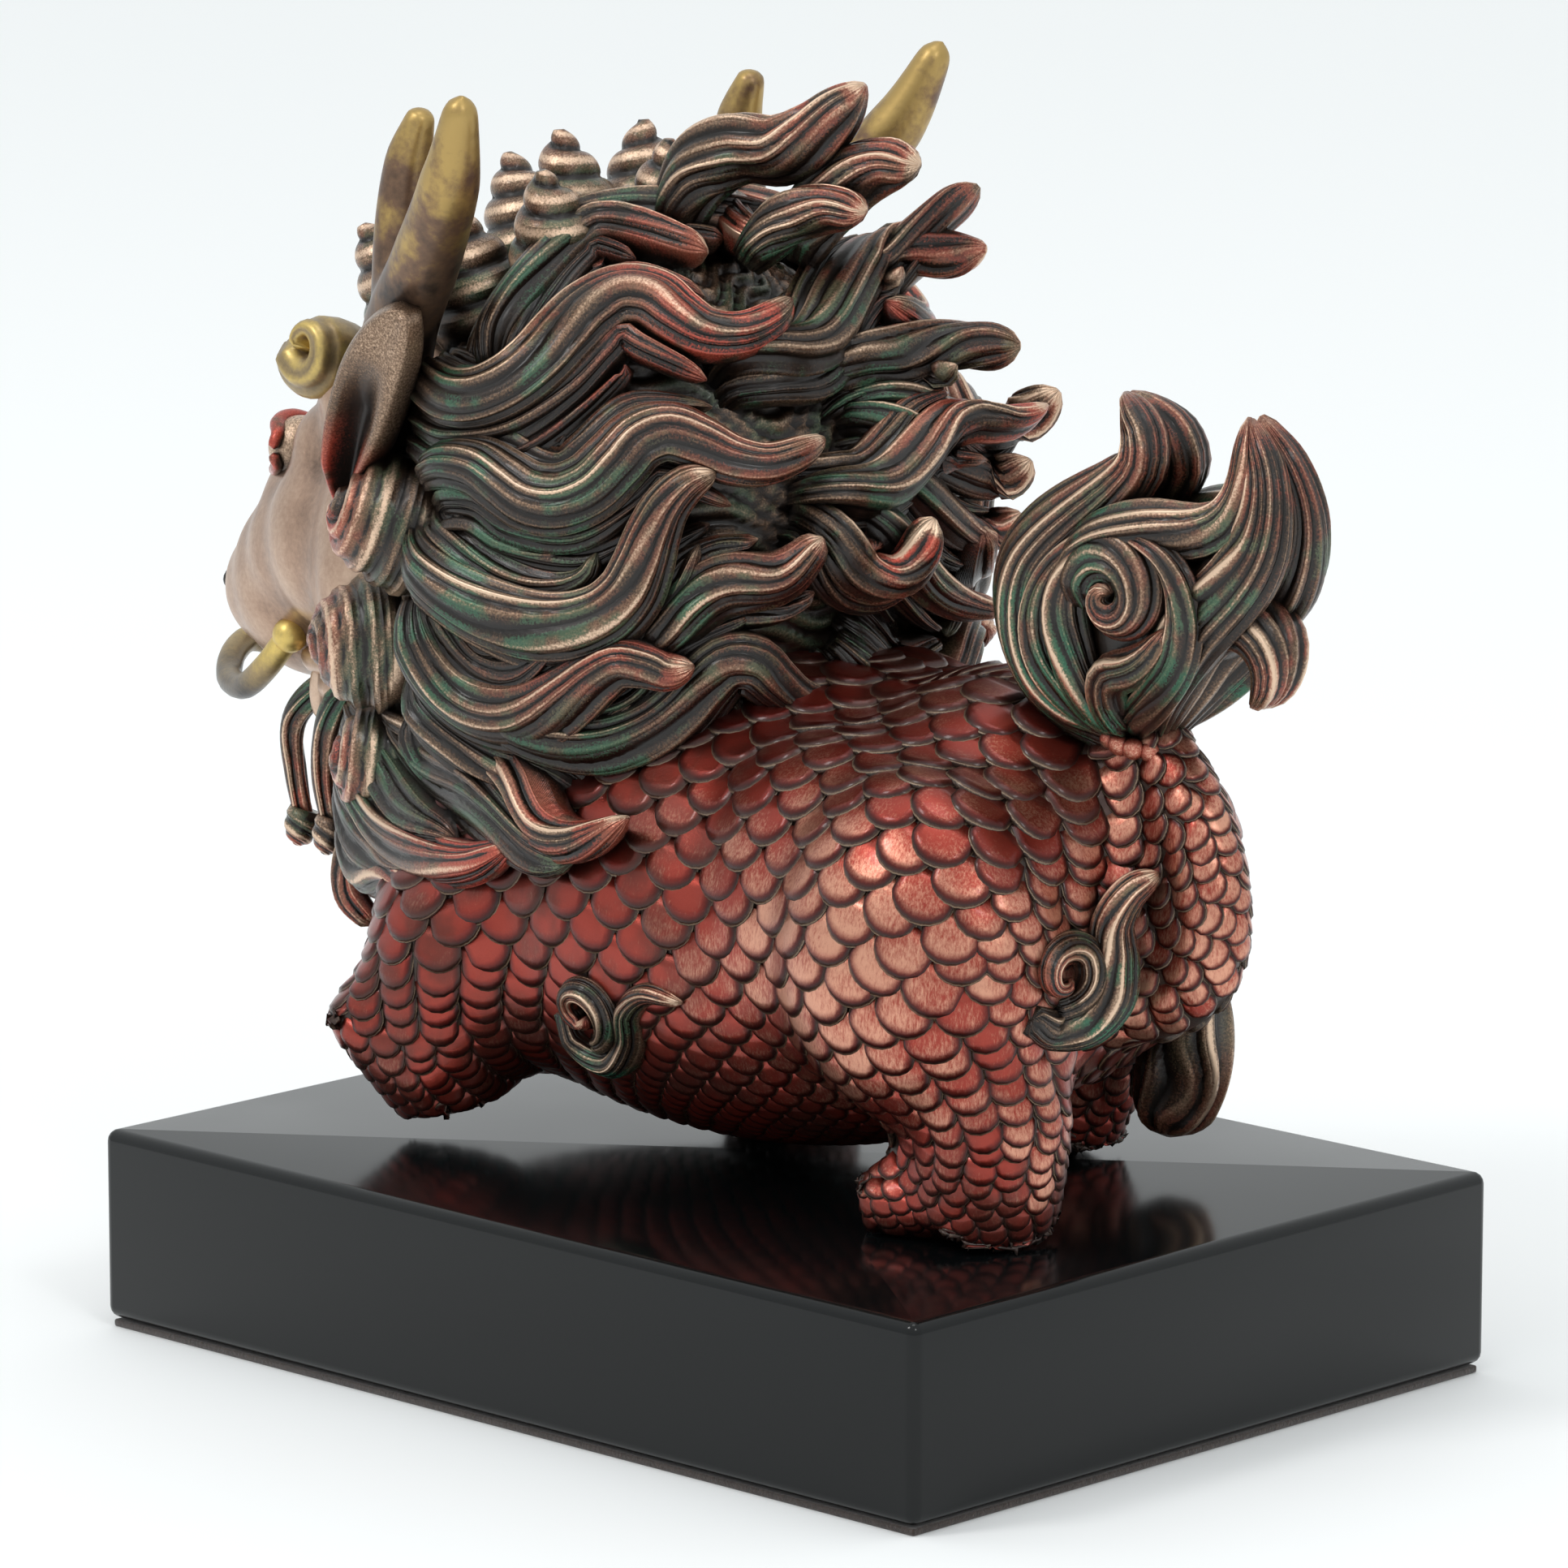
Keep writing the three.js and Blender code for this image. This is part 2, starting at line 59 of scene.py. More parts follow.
# The mane lies on an egg-shaped scalp. Its right side repeats the left one, a little lower and further round
MANE_CENTRE = np.array([0.0, -24.0, 80.3])
MANE_RADII = np.array([41.0, 41.0, 45.0])
SCALP_DEPTH = 4.5
MIRROR_TURN = 364
MIRROR_DROP = 3


# Shapes: points in carving units with faces, and what the finish reads at each point: how proud it stands,
# its red and green washes, and its place across the carved hair. On the scales the last three are the tone
# of the scale, how near it is to the rubbed haunch, and how far down the scale the point lies

FINISH = ("crest", "red", "green", "strand")


def shape(points, quads, tris=(), **finish):
    points = np.asarray(points, float).reshape(-1, 3)
    made = {
        "points": points,
        "quads": np.asarray(quads, int).reshape(-1, 4),
        "tris": np.asarray(tris, int).reshape(-1, 3),
    }
    for key in FINISH:
        made[key] = np.broadcast_to(np.asarray(finish.get(key, 0.0), float).reshape(-1), len(points))
    return made


def joined(shapes):
    offsets = np.cumsum([0] + [len(s["points"]) for s in shapes])
    return shape(
        np.concatenate([s["points"] for s in shapes]),
        np.concatenate([s["quads"] + o for s, o in zip(shapes, offsets)]),
        np.concatenate([s["tris"] + o for s, o in zip(shapes, offsets)]),
        **{key: np.concatenate([s[key] for s in shapes]) for key in FINISH},
    )


def mirrored(made):
    """The same shape on the other side of the figure."""
    other = {key: value.copy() for key, value in made.items()}
    other["points"][:, 0] *= -1
    other["quads"] = other["quads"][:, ::-1]
    other["tris"] = other["tris"][:, ::-1]
    return other


def both_sides(*shapes):
    return joined([*shapes, *[mirrored(made) for made in shapes]])


def skin(rings, **finish):
    """Closed skin over rows of points that run round, with a fan over each end."""
    rings = np.asarray(rings, float)
    rows, sides = rings.shape[:2]
    index = np.arange(rows * sides).reshape(rows, sides)
    after = np.roll(index, -1, axis=1)
    quads = np.stack([index[:-1], after[:-1], after[1:], index[1:]], -1)
    first, last = rows * sides, rows * sides + 1
    tris = [
        np.stack([after[0], index[0], np.full(sides, first)], -1),
        np.stack([index[-1], after[-1], np.full(sides, last)], -1),
    ]
    points = np.concatenate([rings.reshape(-1, 3), rings[0].mean(0)[None], rings[-1].mean(0)[None]])
    full = {}
    for key, value in finish.items():
        value = np.broadcast_to(value, (rows, sides))
        full[key] = np.concatenate([value.reshape(-1), [value[0].mean(), value[-1].mean()]])
    return shape(points, quads, np.concatenate(tris), **full)


def unit_rows(vectors):
    return vectors / np.maximum(np.linalg.norm(vectors, axis=-1, keepdims=True), 1e-9)


def run(points, count):
    """Evenly spaced places on a smooth curve through the points, the way on at each, and the curve's length.
    Each span of the curve is blended from the four points around it."""
    p = np.asarray(points, float)
    p = np.concatenate([[2 * p[0] - p[1]], p, [2 * p[-1] - p[-2]]])
    fine = []
    for a, b, c, d in zip(p, p[1:], p[2:], p[3:]):
        k = np.cumsum([0.0] + [max(np.linalg.norm(v), 1e-6) ** 0.5 for v in (b - a, c - b, d - c)])
        s = np.linspace(k[1], k[2], 24, endpoint=False)[:, None]
        ab = (a * (k[1] - s) + b * (s - k[0])) / (k[1] - k[0])
        bc = (b * (k[2] - s) + c * (s - k[1])) / (k[2] - k[1])
        cd = (c * (k[3] - s) + d * (s - k[2])) / (k[3] - k[2])
        abc = (ab * (k[2] - s) + bc * (s - k[0])) / (k[2] - k[0])
        bcd = (bc * (k[3] - s) + cd * (s - k[1])) / (k[3] - k[1])
        fine.append((abc * (k[2] - s) + bcd * (s - k[1])) / (k[2] - k[1]))
    fine = np.concatenate(fine + [p[-2:-1]])
    travel = np.concatenate([[0], np.cumsum(np.linalg.norm(np.diff(fine, axis=0), axis=1))])
    stops = np.linspace(0, travel[-1], count)
    places = np.stack([np.interp(stops, travel, fine[:, k]) for k in range(3)], 1)
    return places, unit_rows(np.gradient(places, axis=0)), travel[-1]


def sweep(points, look, steps, section, **finish):
    """Skin along a path. look gives the way its outside faces; section(t) gives breadth and depth."""
    places, ways, _ = run(points, steps)
    out = look(places) if callable(look) else np.broadcast_to(np.asarray(look, float), places.shape)
    out = unit_rows(out - (out * ways).sum(1, keepdims=True) * ways)
    across = np.cross(out, ways)
    x, y = section(np.linspace(0, 1, steps)[:, None])
    return skin(places[:, None] + across[:, None] * x[..., None] + out[:, None] * y[..., None], **finish)


def round_limb(points, girths, look=(1, 0.13, 0.07), sides=24, steps=40, flat=1.0, **finish):
    """Round limb whose half girths follow its points. flat thins it the way that it looks."""
    turn = np.linspace(0, 2 * np.pi, sides, endpoint=False)[None]

    def section(t):
        ends = np.sqrt(np.clip(1 - np.maximum(0, (t - 0.96) / 0.04) ** 2, 0.02, 1))
        half = np.interp(t, np.linspace(0, 1, len(girths)), girths) * ends
        return half * np.cos(turn), flat * half * np.sin(turn)

    return sweep(points, look, steps, section, **finish)


def mass(centre, radii, turn=0, sides=40, rows=24, **finish):
    """Egg-shaped mass, turned about its upright axis by some degrees."""
    down = np.linspace(0, np.pi, rows + 2)[1:-1, None]
    around = np.linspace(0, 2 * np.pi, sides, endpoint=False)[None]
    rings = np.stack([
        radii[0] * np.sin(down) * np.cos(around),
        radii[1] * np.sin(down) * np.sin(around),
        -radii[2] * np.cos(down) * np.ones_like(around),
    ], -1)
    cosine, sine = math.cos(math.radians(turn)), math.sin(math.radians(turn))
    rings = rings @ np.array([[cosine, sine, 0], [-sine, cosine, 0], [0, 0, 1]])
    return skin(rings + np.asarray(centre, float), **finish)


def bead(centre, radius, **finish):
    return mass(centre, (radius, radius, radius), sides=16, rows=9, **finish)


# Hair: a lock is one closed form with grooves carved along it


def combed(turn, t, ridges, drift):
    """Place across the carved hair, counted in ridges, which widen, narrow and wander along the lock."""
    across = turn / np.pi
    sway = 0.055 * np.sin(2 * np.pi * across * 1.5 + 3.1 * t + 7 * drift) * np.sin(np.pi * across)
    wander = 0.09 * np.sin(2 * np.pi * (1.3 * t + drift)) * np.sin(np.pi * across)
    return ridges * (across + sway + wander) + 0.5


def ridge_height(strand, t, drift):
    """Height of the carved hair, 0 in a groove and 1 on a ridge, and how strong each ridge is."""
    strong = 0.66 + 0.34 * np.sin(2.4 * np.floor(strand) + 4 * t + 9 * drift)
    return np.abs(np.sin(np.pi * strand)), strong


def lock_section(width, thick, keel, ridges, drift, tip, root, groove, blunt, both):
    """Section of a lock, swelling and then tapering to its tip. It is grooved outside, and inside has a
    plain keel unless both sides are carved."""
    outer = np.linspace(0, np.pi, ridges * 6 + 1)
    inner = np.linspace(np.pi, 2 * np.pi, ridges * 6 + 1 if both else 8)[1:-1]
    turn = np.concatenate([outer, inner])[None]
    carved = np.where(both, turn, np.minimum(turn, np.pi))

    def section(t):
        ends = np.sqrt(np.clip(1 - np.maximum(0, (t - blunt) / (1 - blunt)) ** 2, 0.03, 1))
        rooted = np.clip(0.45 + 5 * t, 0, 1)
        swell = (root + (0.64 - root) * t + 1.5 * t * (1 - t)) * (1 - tip * t * t)
        half = width / 2 * swell * ends
        top = thick / 2 * (1 - 0.25 * t * t) * ends * rooted
        deep = top + keel * (1 - t ** 3)
        depth = np.where(turn <= np.pi, top, deep)
        wave, strong = ridge_height(combed(carved, t, ridges, drift), t, drift)
        cut = groove * np.minimum(half * 2.4 / ridges, 1.5 * top) * (1 - wave ** 0.7 * strong)
        cut = cut * np.where(turn <= np.pi + 6 * both, np.clip(np.abs(np.sin(turn)) * 4, 0.25, 1), 0)
        face = np.stack([np.cos(turn) / np.maximum(half, 0.1), np.sin(turn) / np.maximum(depth, 0.1)])
        face = face / np.linalg.norm(face, axis=0)
        return half * np.cos(turn) - cut * face[0], depth * np.sin(turn) - cut * face[1]

    return section, turn, carved


def hair(points, look, width, thick, keel=0.0, ridges=6, drift=0.0, red=0.0, green=0.6, tip=0.5, root=0.62,
         groove=0.5, fine=0.9, blunt=0.93, upper_edge=1, both=False, worn=1.0):
    """A lock of carved hair, with its washes: green on the slopes, red near the tip. It starts with the
    share root of its width, loses the share tip of it towards its end, and rounds off from blunt on."""
    _, _, length = run(points, 60)
    rows = int(np.clip(length / fine, 18, 110))
    section, turn, carved = lock_section(width, thick, keel, ridges, drift, tip, root, groove, blunt, both)
    t = np.linspace(0, 1, rows)[:, None]
    strand = combed(carved, t, ridges, drift)
    wave, strong = ridge_height(strand, t, drift)
    crest = wave ** 1.5 * (0.35 + 0.65 * strong) * worn * np.clip(0.5 + 2.2 * t, 0, 1)
    crest = np.where(turn <= np.pi + 6 * both, crest, 0.35)
    crest = np.maximum(crest, 0.95 * worn * np.clip((t - 0.9) / 0.08, 0, 1))
    late = np.clip((t - 0.3) / 0.5, 0, 1)
    upper = np.clip(0.3 + 0.7 * upper_edge * np.cos(turn), 0, 1)
    # Painted light and shade: the upper side of each lock is made lighter and its under side darker, as
    # light from above falls on it
    crest = crest * (0.62 + 0.45 * np.clip(0.5 + 0.8 * upper_edge * np.cos(turn), 0, 1))
    return sweep(points, look, rows, section, crest=crest, strand=strand,
                 red=red * late * np.maximum(upper, 0.7 * late ** 2),
                 green=green * (1 - 0.8 * late * red) + 0 * turn)


def bun(centre, normal, radius, height, turns, hand=1, cone=0.0, groove=0.9, plies=1, red=0.0, green=0.3):
    """A cord of hair wound up into a dome or a cone, in one skin with a spiral groove."""
    normal = unit_rows(np.asarray(normal, float))
    level = unit_rows(np.cross(normal, (0.05, 0.02, 1.0)))
    upright = np.cross(level, normal)
    angle = np.linspace(0, 2 * np.pi, 40, endpoint=False)[None]
    s = np.linspace(0, 0.94 if cone else 0.985, int(10 * turns))[:, None]
    reach = radius * (cone * (1 - s) ** 0.85 + (1 - cone) * np.cos(np.pi / 2 * s))
    stand = height * (cone * s + (1 - cone) * np.sin(np.pi / 2 * s))
    winding = turns * s ** 0.9 - hand * angle / (2 * np.pi)
    wave = np.abs(np.sin(np.pi * winding))
    fine, strong = ridge_height(winding * plies, s, radius)
    shapely = wave ** 0.45 if plies == 1 else 0.45 * wave ** 0.65 + 0.55 * fine ** 0.7
    out, up = np.gradient(stand[:, 0])[:, None], -np.gradient(reach[:, 0])[:, None]
    size = np.maximum(np.hypot(out, up), 1e-6)
    cut = groove * (1 - shapely) * np.clip((1 - s) * 5, 0.1, 1)
    reach, stand = reach - cut * out / size, stand - cut * up / size
    crest = 0.8 * wave if plies == 1 else wave ** 0.4 * fine * (0.55 + 0.6 * strong)
    washed = red * np.clip((s - 0.35) * 2, 0, 1) + 0 * angle
    reach = np.concatenate([0.92 * reach[:1], reach])
    stand = np.concatenate([stand[:1] - 0.35 * radius, stand])
    strand = winding * plies
    crest, strand, washed = (np.concatenate([value[:1], value]) for value in (crest, strand, washed))
    rings = (np.asarray(centre, float) + level * (reach * np.cos(angle))[..., None]
             + upright * (reach * np.sin(angle))[..., None] + normal * (stand + 0 * angle)[..., None])
    return skin(rings, crest=crest, strand=strand, red=washed, green=green)


def mane_point(turn, rise, lift):
    """A place on the mane: degrees round from the face by the left, degrees up, and how far it lifts."""
    turn, rise = np.radians(turn), np.radians(rise)
    way = np.array([math.sin(turn) * math.cos(rise), -math.cos(turn) * math.cos(rise), math.sin(rise)])
    return way * MANE_RADII * (1 + lift / MANE_RADII[0]) + MANE_CENTRE


def off_mane(points):
    return unit_rows(points - MANE_CENTRE)


# Locks: width, flare of the tip, red wash, then turn and rise of each bend round the mane. Locks with a
# flare above FLYING leave the mane and are carved all round
FLYING = 8
FLANK_LOCKS = [
    (9, 3, 0.6, [90, 41], [90, 53], [93, 72], [131, 68], [146, 61], [155, 57]),
    (13, 5, 0.9, [72, 32], [91, 29], [105, 35], [116, 48], [130, 52], [144, 41], [156, 40], [172, 47]),
    (10, 3, 0.5, [70, 70], [120, 80], [175, 76], [190, 68], [191, 62]),
    (12, 5, 0.35, [85, 17], [98, 19], [111, 13], [122, 15], [134, 26], [152, 18], [169, 23]),
    (13, 5, 0.2, [84, 1], [99, -5], [117, -8], [129, -3], [135, 12], [140, 17], [148, 18]),
    (11, 6, 0.3, [136, -8], [146, 0], [156, 1], [163, 8]),
    (13, 5, 0.5, [80, -12], [89, -23], [106, -25], [121, -17], [129, -11], [136, -14], [143, -10]),
    (13, 5, 0.2, [102, -26], [123, -30], [138, -24], [149, -11], [159, -19], [174, -20]),
    (12, 5, 0.25, [76, -27], [91, -36], [110, -40], [114, -48], [125, -45], [134, -37]),
    (9, 4, 0.25, [64, -36], [75, -47], [88, -50], [97, -47], [106, -47]),
    (8, 4, 0.25, [52, -44], [60, -54], [74, -54], [82, -58]),
]
NAPE_LOCKS = [
    (11, 20, 0.5, [156, 40], [172, 38], [190, 47], [206, 49], [206, 41], [203, 38]),
    (11, 17, 0.2, [184, 36], [196, 34], [203, 31], [204, 26]),
    (8, 22, 0.4, [190, 50], [200, 48], [207, 47], [211, 45]),
    (10, 18, 0.7, [170, 14], [180, 13], [187, 17], [194, 21], [200, 18], [205, 19]),
    (9, 9, 1.0, [168, 7], [173, 0], [179, 0], [182, 9]),
    (9, 18, 0.3, [190, 28], [202, 22], [211, 17], [211, 20]),
    (9, 13, 0.2, [188, 24], [199, 16], [207, 10], [206, 13]),
    (9, 10, 0.4, [186, 16], [198, 6], [208, 2], [209, 6]),
    (9, 8, 0.3, [180, 8], [190, -2], [201, -8], [207, -8]),
    (10, 6, 0.4, [176, -16], [188, -24], [200, -20], [212, -26]),
]


def lock_path(row, other_side=False):
    """Line of a lock over the mane. It starts hidden in the scalp, and lifts more and more to its tip."""
    flare, stations = row[1], row[3:]
    path = []
    for i, (turn, rise) in enumerate(stations):
        lift = flare * (i / (len(stations) - 1)) ** 2
        if other_side:
            turn, rise = MIRROR_TURN - turn, rise - MIRROR_DROP
        path.append(mane_point(turn, rise, lift))
    hidden = path[0] + 0.4 * (path[0] - path[1])
    path.insert(0, MANE_CENTRE + (hidden - MANE_CENTRE) * (0.84 if flare >= FLYING else 0.93))
    return path


def beside(path, look, step, share, sink, splay):
    """Path of a lesser lock that starts beside another and parts from it near its end."""
    places, ways, _ = run(path, 40)
    out = look(places)
    across = unit_rows(np.cross(out, ways))
    t = np.linspace(0, 1, 40)[:, None]
    drawn = places + across * step * (0.75 + splay * t * t) - out * sink
    return drawn[: int(40 * share)][::4]


def softened(path, rounds=9):
    """The same path with its sharp bends eased, its ends kept."""
    places, _, _ = run(path, 48)
    for _ in range(rounds):
        places[1:-1] = 0.5 * places[1:-1] + 0.25 * (places[:-2] + places[2:])
    return places[::3]


# Lesser locks beside each lock: how far to its side, share of its length, splay, sink, ridges and wear
LESSER_LOCKS = [(1, 0.78, 0.6, 2.2, 3, 0.75), (-1, 0.9, 0.4, 2.2, 3, 0.75)]
LEAST_LOCKS = [(1.75, 0.6, 0.5, 3.6, 2, 0.55), (-1.75, 0.7, 0.5, 3.6, 2, 0.55)]


def mane_side(rows, other_side=False):
    """Locks of one side of the mane, with the lesser ones that part from them. The low ones get painted
    shade.
    """
    locks = []
    up = -1 if other_side else 1
    for i, row in enumerate(rows):
        width, flare, red = row[:3]
        path = softened(lock_path(row, other_side))
        drift = (0.37 * i) % 1
        flying = flare > FLYING
        # Painted shade: low locks, and the lesser ones beside them, get a smaller worn value, which darkens
        # them as if shaded by the locks above
        low = max(0.0, -row[3][1] / 90)
        locks.append(hair(path, off_mane, width, 9 if flying else 7, 0 if flying else SCALP_DEPTH,
                          5 if width > 11 else 4, drift, red, blunt=0.86 if flying else 0.93, root=0.42,
                          upper_edge=up, both=flying, worn=1 - low))
        for side, share, splay, sink, ridges, wear in LESSER_LOCKS + ([] if flying else LEAST_LOCKS):
            lesser = beside(path, off_mane, side * width * 0.45, share, sink, splay)
            locks.append(hair(lesser, off_mane, width * (0.3 + 0.07 * ridges), 4.6,
                              2 if flying else SCALP_DEPTH, ridges, drift + 0.5, red * 0.6, fine=1.2,
                              upper_edge=up, worn=wear - 0.7 * low))
    return joined(locks)


# Locks that hang over the breast: width, thickness, red wash, then the line of the lock
BREAST_LOCKS = [
    (12, 7, 0.1, [23.5, -60, 53], [26.5, -53.5, 50], [28.5, -46, 45.5], [32.5, -35, 42.6], [34.5, -26, 43]),
    (12, 7, 0.1, [24.5, -50, 56], [27.5, -42, 52], [33, -26, 49], [35.3, -17.5, 46], [36.5, -9.5, 43.5],
     [36, -2, 44]),
    (10, 6, 0.1, [21.5, -62, 47], [25, -58, 43], [27.5, -52, 37.5], [31, -42, 37.5], [34, -32, 39.5]),
    (9.5, 7, 0.6, [25, -52, 58], [28.5, -37, 54.5], [31.8, -23, 54], [33.8, -16, 52], [36, -11.5, 47.5],
     [36.7, -5, 46], [36.5, 0.8, 47.5], [35.5, 5.5, 51], [35, 7.6, 52.5]),
    (9, 6.5, 0.9, [24.5, -60, 49], [28.3, -50, 42.5], [32, -39.5, 40.5], [35, -28.5, 39.8],
     [36.5, -20, 41.5], [36.7, -15, 44.5], [36.5, -12.5, 46]),
    (7.5, 6, 0.7, [22.5, -61, 41], [24.3, -58, 36], [27, -52.3, 33.6], [30, -44.6, 35.6], [33, -37, 35.8],
     [34, -32, 33.4]),
]


def breast_locks():
    """Low locks of the mane, which lie on the breast and end in three lifted tips."""
    locks = []
    for i, (width, thick, red, *path) in enumerate(BREAST_LOCKS):
        locks.append(hair(softened(path), (1, -0.4, -0.15), width, thick, 4, 5 if width > 8 else 4, 0.3 * i,
                          red, root=0.6, tip=0.35, worn=0.6 if red < 0.2 else 1.0, blunt=0.87, fine=1.5))
    return joined(locks)


def hair_ground():
    """The scalp, carved all over with waving hair, that shows dark between the locks."""
    rise = np.linspace(-88, 88, 180)[:, None]
    turn = np.linspace(0, 360, 160, endpoint=False)[None]
    wave = rise + 7 * np.sin(np.radians(turn * 5)) + 4 * np.sin(np.radians(turn * 11 + rise * 3))
    ridge = np.abs(np.sin(np.pi * wave / 5.2)) ** 0.7
    reach = (MANE_RADII - SCALP_DEPTH)[None, None] - 1.7 * (1 - ridge[..., None])
    t, r = np.radians(turn), np.radians(rise)
    way = np.stack([np.sin(t) * np.cos(r), -np.cos(t) * np.cos(r), np.sin(r) + 0 * t], -1)
    return skin(way * reach + MANE_CENTRE, crest=ridge * 0.7, green=0.35)


# Body: masses and limbs fused into one skin, then shingled with scales

BODY_MASSES = [
    ((0, -4, 36.3), (34, 62, 34.5), 0),
    ((0, -48, 42), (25, 20, 26), 0),
    ((0, 40, 42), (27, 26, 28), 0),
    ((24, 46, 38), (13, 20, 23), 10),
    ((-24, 36, 38), (13, 20, 23), 0),
    ((21, -30, 32), (14, 20, 21), 0),
    ((-22, -24, 34), (13, 18, 22), 0),
    ((19, 30, 40), (14.5, 28, 23), 0),
    ((-19, 21, 40), (14.5, 27, 23), 0),
    ((12, 53, 40), (15, 12, 21), 0),
    ((-12, 48, 40), (15, 13, 21), 0),
    ((17, -8, 36), (15.5, 26, 22), 0),
    ((-17, -4, 36), (15.5, 26, 22), 0),
]
LEGS = [
    ([[21, 49, 30], [19, 54, 18], [18, 53, 8], [17, 50, 0.5]], [14, 10.2, 9.6, 9.4]),
    ([[16, 51, 4.5], [21, 44, 4], [25, 39, 3.5], [28, 35.5, 2.8]], [7, 5.8, 5, 2.8]),
    ([[-24, 32, 30], [-27, 29, 17], [-27, 26, 8], [-27, 23, 0.5]], [14, 10, 9.2, 8.6]),
    ([[-26, 24, 4.5], [-28, 17, 4], [-30, 12, 3.5], [-32, 8.5, 2.8]], [7, 5.8, 5, 2.8]),
    ([[21, -34, 30], [24, -38, 18], [25, -39, 8], [24, -38, 0.5]], [16, 14, 11, 6.5]),
    ([[25, -38, 11], [30, -44, 15], [35, -49, 19], [37, -51, 21]], [11, 9.5, 6.5, 3]),
    ([[-22, -26, 30], [-25, -24, 17], [-25, -23, 8], [-25, -22, 0.5]], [14, 10, 9, 8.5]),
    ([[-24, -24, 4.5], [-27, -31, 4], [-29, -37, 3.5], [-30, -40.5, 2.8]], [7, 5.8, 5, 2.8]),
]
TAIL = [[0, 58, 30], [0, 67, 31], [0, 73, 36], [0, 74, 45], [0, 71, 55], [0, 66, 62], [0, 61, 68]]


def evaluated(obj):
    """Points and triangles of an object with its modifiers applied; the object is then dropped."""
    seen = obj.evaluated_get(bpy.context.evaluated_depsgraph_get())
    mesh = seen.to_mesh()
    mesh.calc_loop_triangles()
    points = np.zeros(len(mesh.vertices) * 3)
    mesh.vertices.foreach_get("co", points)
    tris = np.zeros(len(mesh.loop_triangles) * 3, int)
    mesh.loop_triangles.foreach_get("vertices", tris)
    seen.to_mesh_clear()
    bpy.data.objects.remove(obj)
    return points.reshape(-1, 3), tris.reshape(-1, 3)


def plain_object(name, made):
    """A mesh object from a shape, in carving units."""
    mesh = bpy.data.meshes.new(name)
    quads, tris = made["quads"], made["tris"]
    corners = np.concatenate([quads.reshape(-1), tris.reshape(-1)])
    starts = np.concatenate([np.arange(len(quads)) * 4, len(quads) * 4 + np.arange(len(tris)) * 3])
    mesh.vertices.add(len(made["points"]))
    mesh.vertices.foreach_set("co", made["points"].reshape(-1))
    mesh.loops.add(len(corners))
    mesh.loops.foreach_set("vertex_index", corners)
    mesh.polygons.add(len(starts))
    mesh.polygons.foreach_set("loop_start", starts)
    mesh.update(calc_edges=True)
    mesh.validate()
    obj = bpy.data.objects.new(name, mesh)
    bpy.context.scene.collection.objects.link(obj)
    return obj


def fused(shapes, voxel, rounds):
    """One smooth skin over shapes that run into each other."""
    obj = plain_object("fusing", joined(shapes))
    remesh = obj.modifiers.new("fuse", "REMESH")
    remesh.mode = "VOXEL"
    remesh.voxel_size = voxel
    smooth = obj.modifiers.new("smooth", "SMOOTH")
    smooth.factor = 0.5
    smooth.iterations = rounds
    return evaluated(obj)


def normals_of(points, tris):
    faces = np.cross(points[tris[:, 1]] - points[tris[:, 0]], points[tris[:, 2]] - points[tris[:, 0]])
    total = np.zeros_like(points)
    for corner in range(3):
        np.add.at(total, tris[:, corner], faces)
    return unit_rows(total)


def row_height(points):
    """How far apart the rows of scales lie: broad on the flanks, small on the feet and the tail."""
    height = np.interp(points[:, 2], [3, 10, 20, 34], [1.5, 1.9, 2.6, 3.6])
    tail = np.clip((points[:, 1] - 58) / 9, 0, 1)
    return height + (2.0 - height) * tail


def rows_from_spine(points, tris, seeds):
    """Counts the rows of scales from the spine to each point, along the skin. Each triangle carries the
    count from two of its corners to the third, across itself where it can and along an edge elsewhere."""
    heights = row_height(points)
    rows = np.full(len(points), 1e6)
    rows[seeds] = 0
    third, one, two = np.concatenate([tris, np.roll(tris, 1, 1), np.roll(tris, 2, 1)]).T
    order = np.argsort(third, kind="stable")
    third, one, two = third[order], one[order], two[order]
    target, starts = np.unique(third, return_index=True)
    slow = 3 / (heights[one] + heights[two] + heights[third])
    to_one, to_two = points[one] - points[third], points[two] - points[third]
    length_one, length_two = np.linalg.norm(to_one, axis=1), np.linalg.norm(to_two, axis=1)
    cosine = (to_one * to_two).sum(1) / np.maximum(length_one * length_two, 1e-9)
    for _ in range(700):
        nearer_two = rows[two] < rows[one]
        low, high = np.minimum(rows[one], rows[two]), np.maximum(rows[one], rows[two])
        near = np.where(nearer_two, length_two, length_one)
        far = np.where(nearer_two, length_one, length_two)
        gap = high - low
        square = far ** 2 + near ** 2 - 2 * near * far * cosine
        linear = 2 * near * gap * (far * cosine - near)
        constant = near ** 2 * (gap ** 2 - slow ** 2 * far ** 2 * (1 - cosine ** 2))
        within = linear * linear - 4 * square * constant
        root = (-linear + np.sqrt(np.maximum(within, 0))) / (2 * square)
        foot = near * (root - gap) / np.maximum(root, 1e-9)
        inside = (within >= 0) & (root > gap) & (foot > far * cosine)
        inside &= foot < far / np.maximum(cosine, 1e-6)
        along = np.minimum(low + slow * near, high + slow * far)
        reached = np.minimum.reduceat(np.where(inside, np.minimum(low + root, along), along), starts)
        better = reached < rows[target] - 1e-4
        if not better.any():
            break
        rows[target[better]] = reached[better]
    return rows


def settled(values, tris, rounds):
    """Values averaged with their neighbours a few times."""
    here = np.concatenate([tris[:, 0], tris[:, 1], tris[:, 2]])
    there = np.concatenate([tris[:, 1], tris[:, 2], tris[:, 0]])
    most = len(values)
    count = np.bincount(here, minlength=most) + np.bincount(there, minlength=most)
    for _ in range(rounds):
        total = np.bincount(here, values[there], most) + np.bincount(there, values[here], most)
        values = 0.5 * values + 0.5 * total / np.maximum(count, 1)
    return values


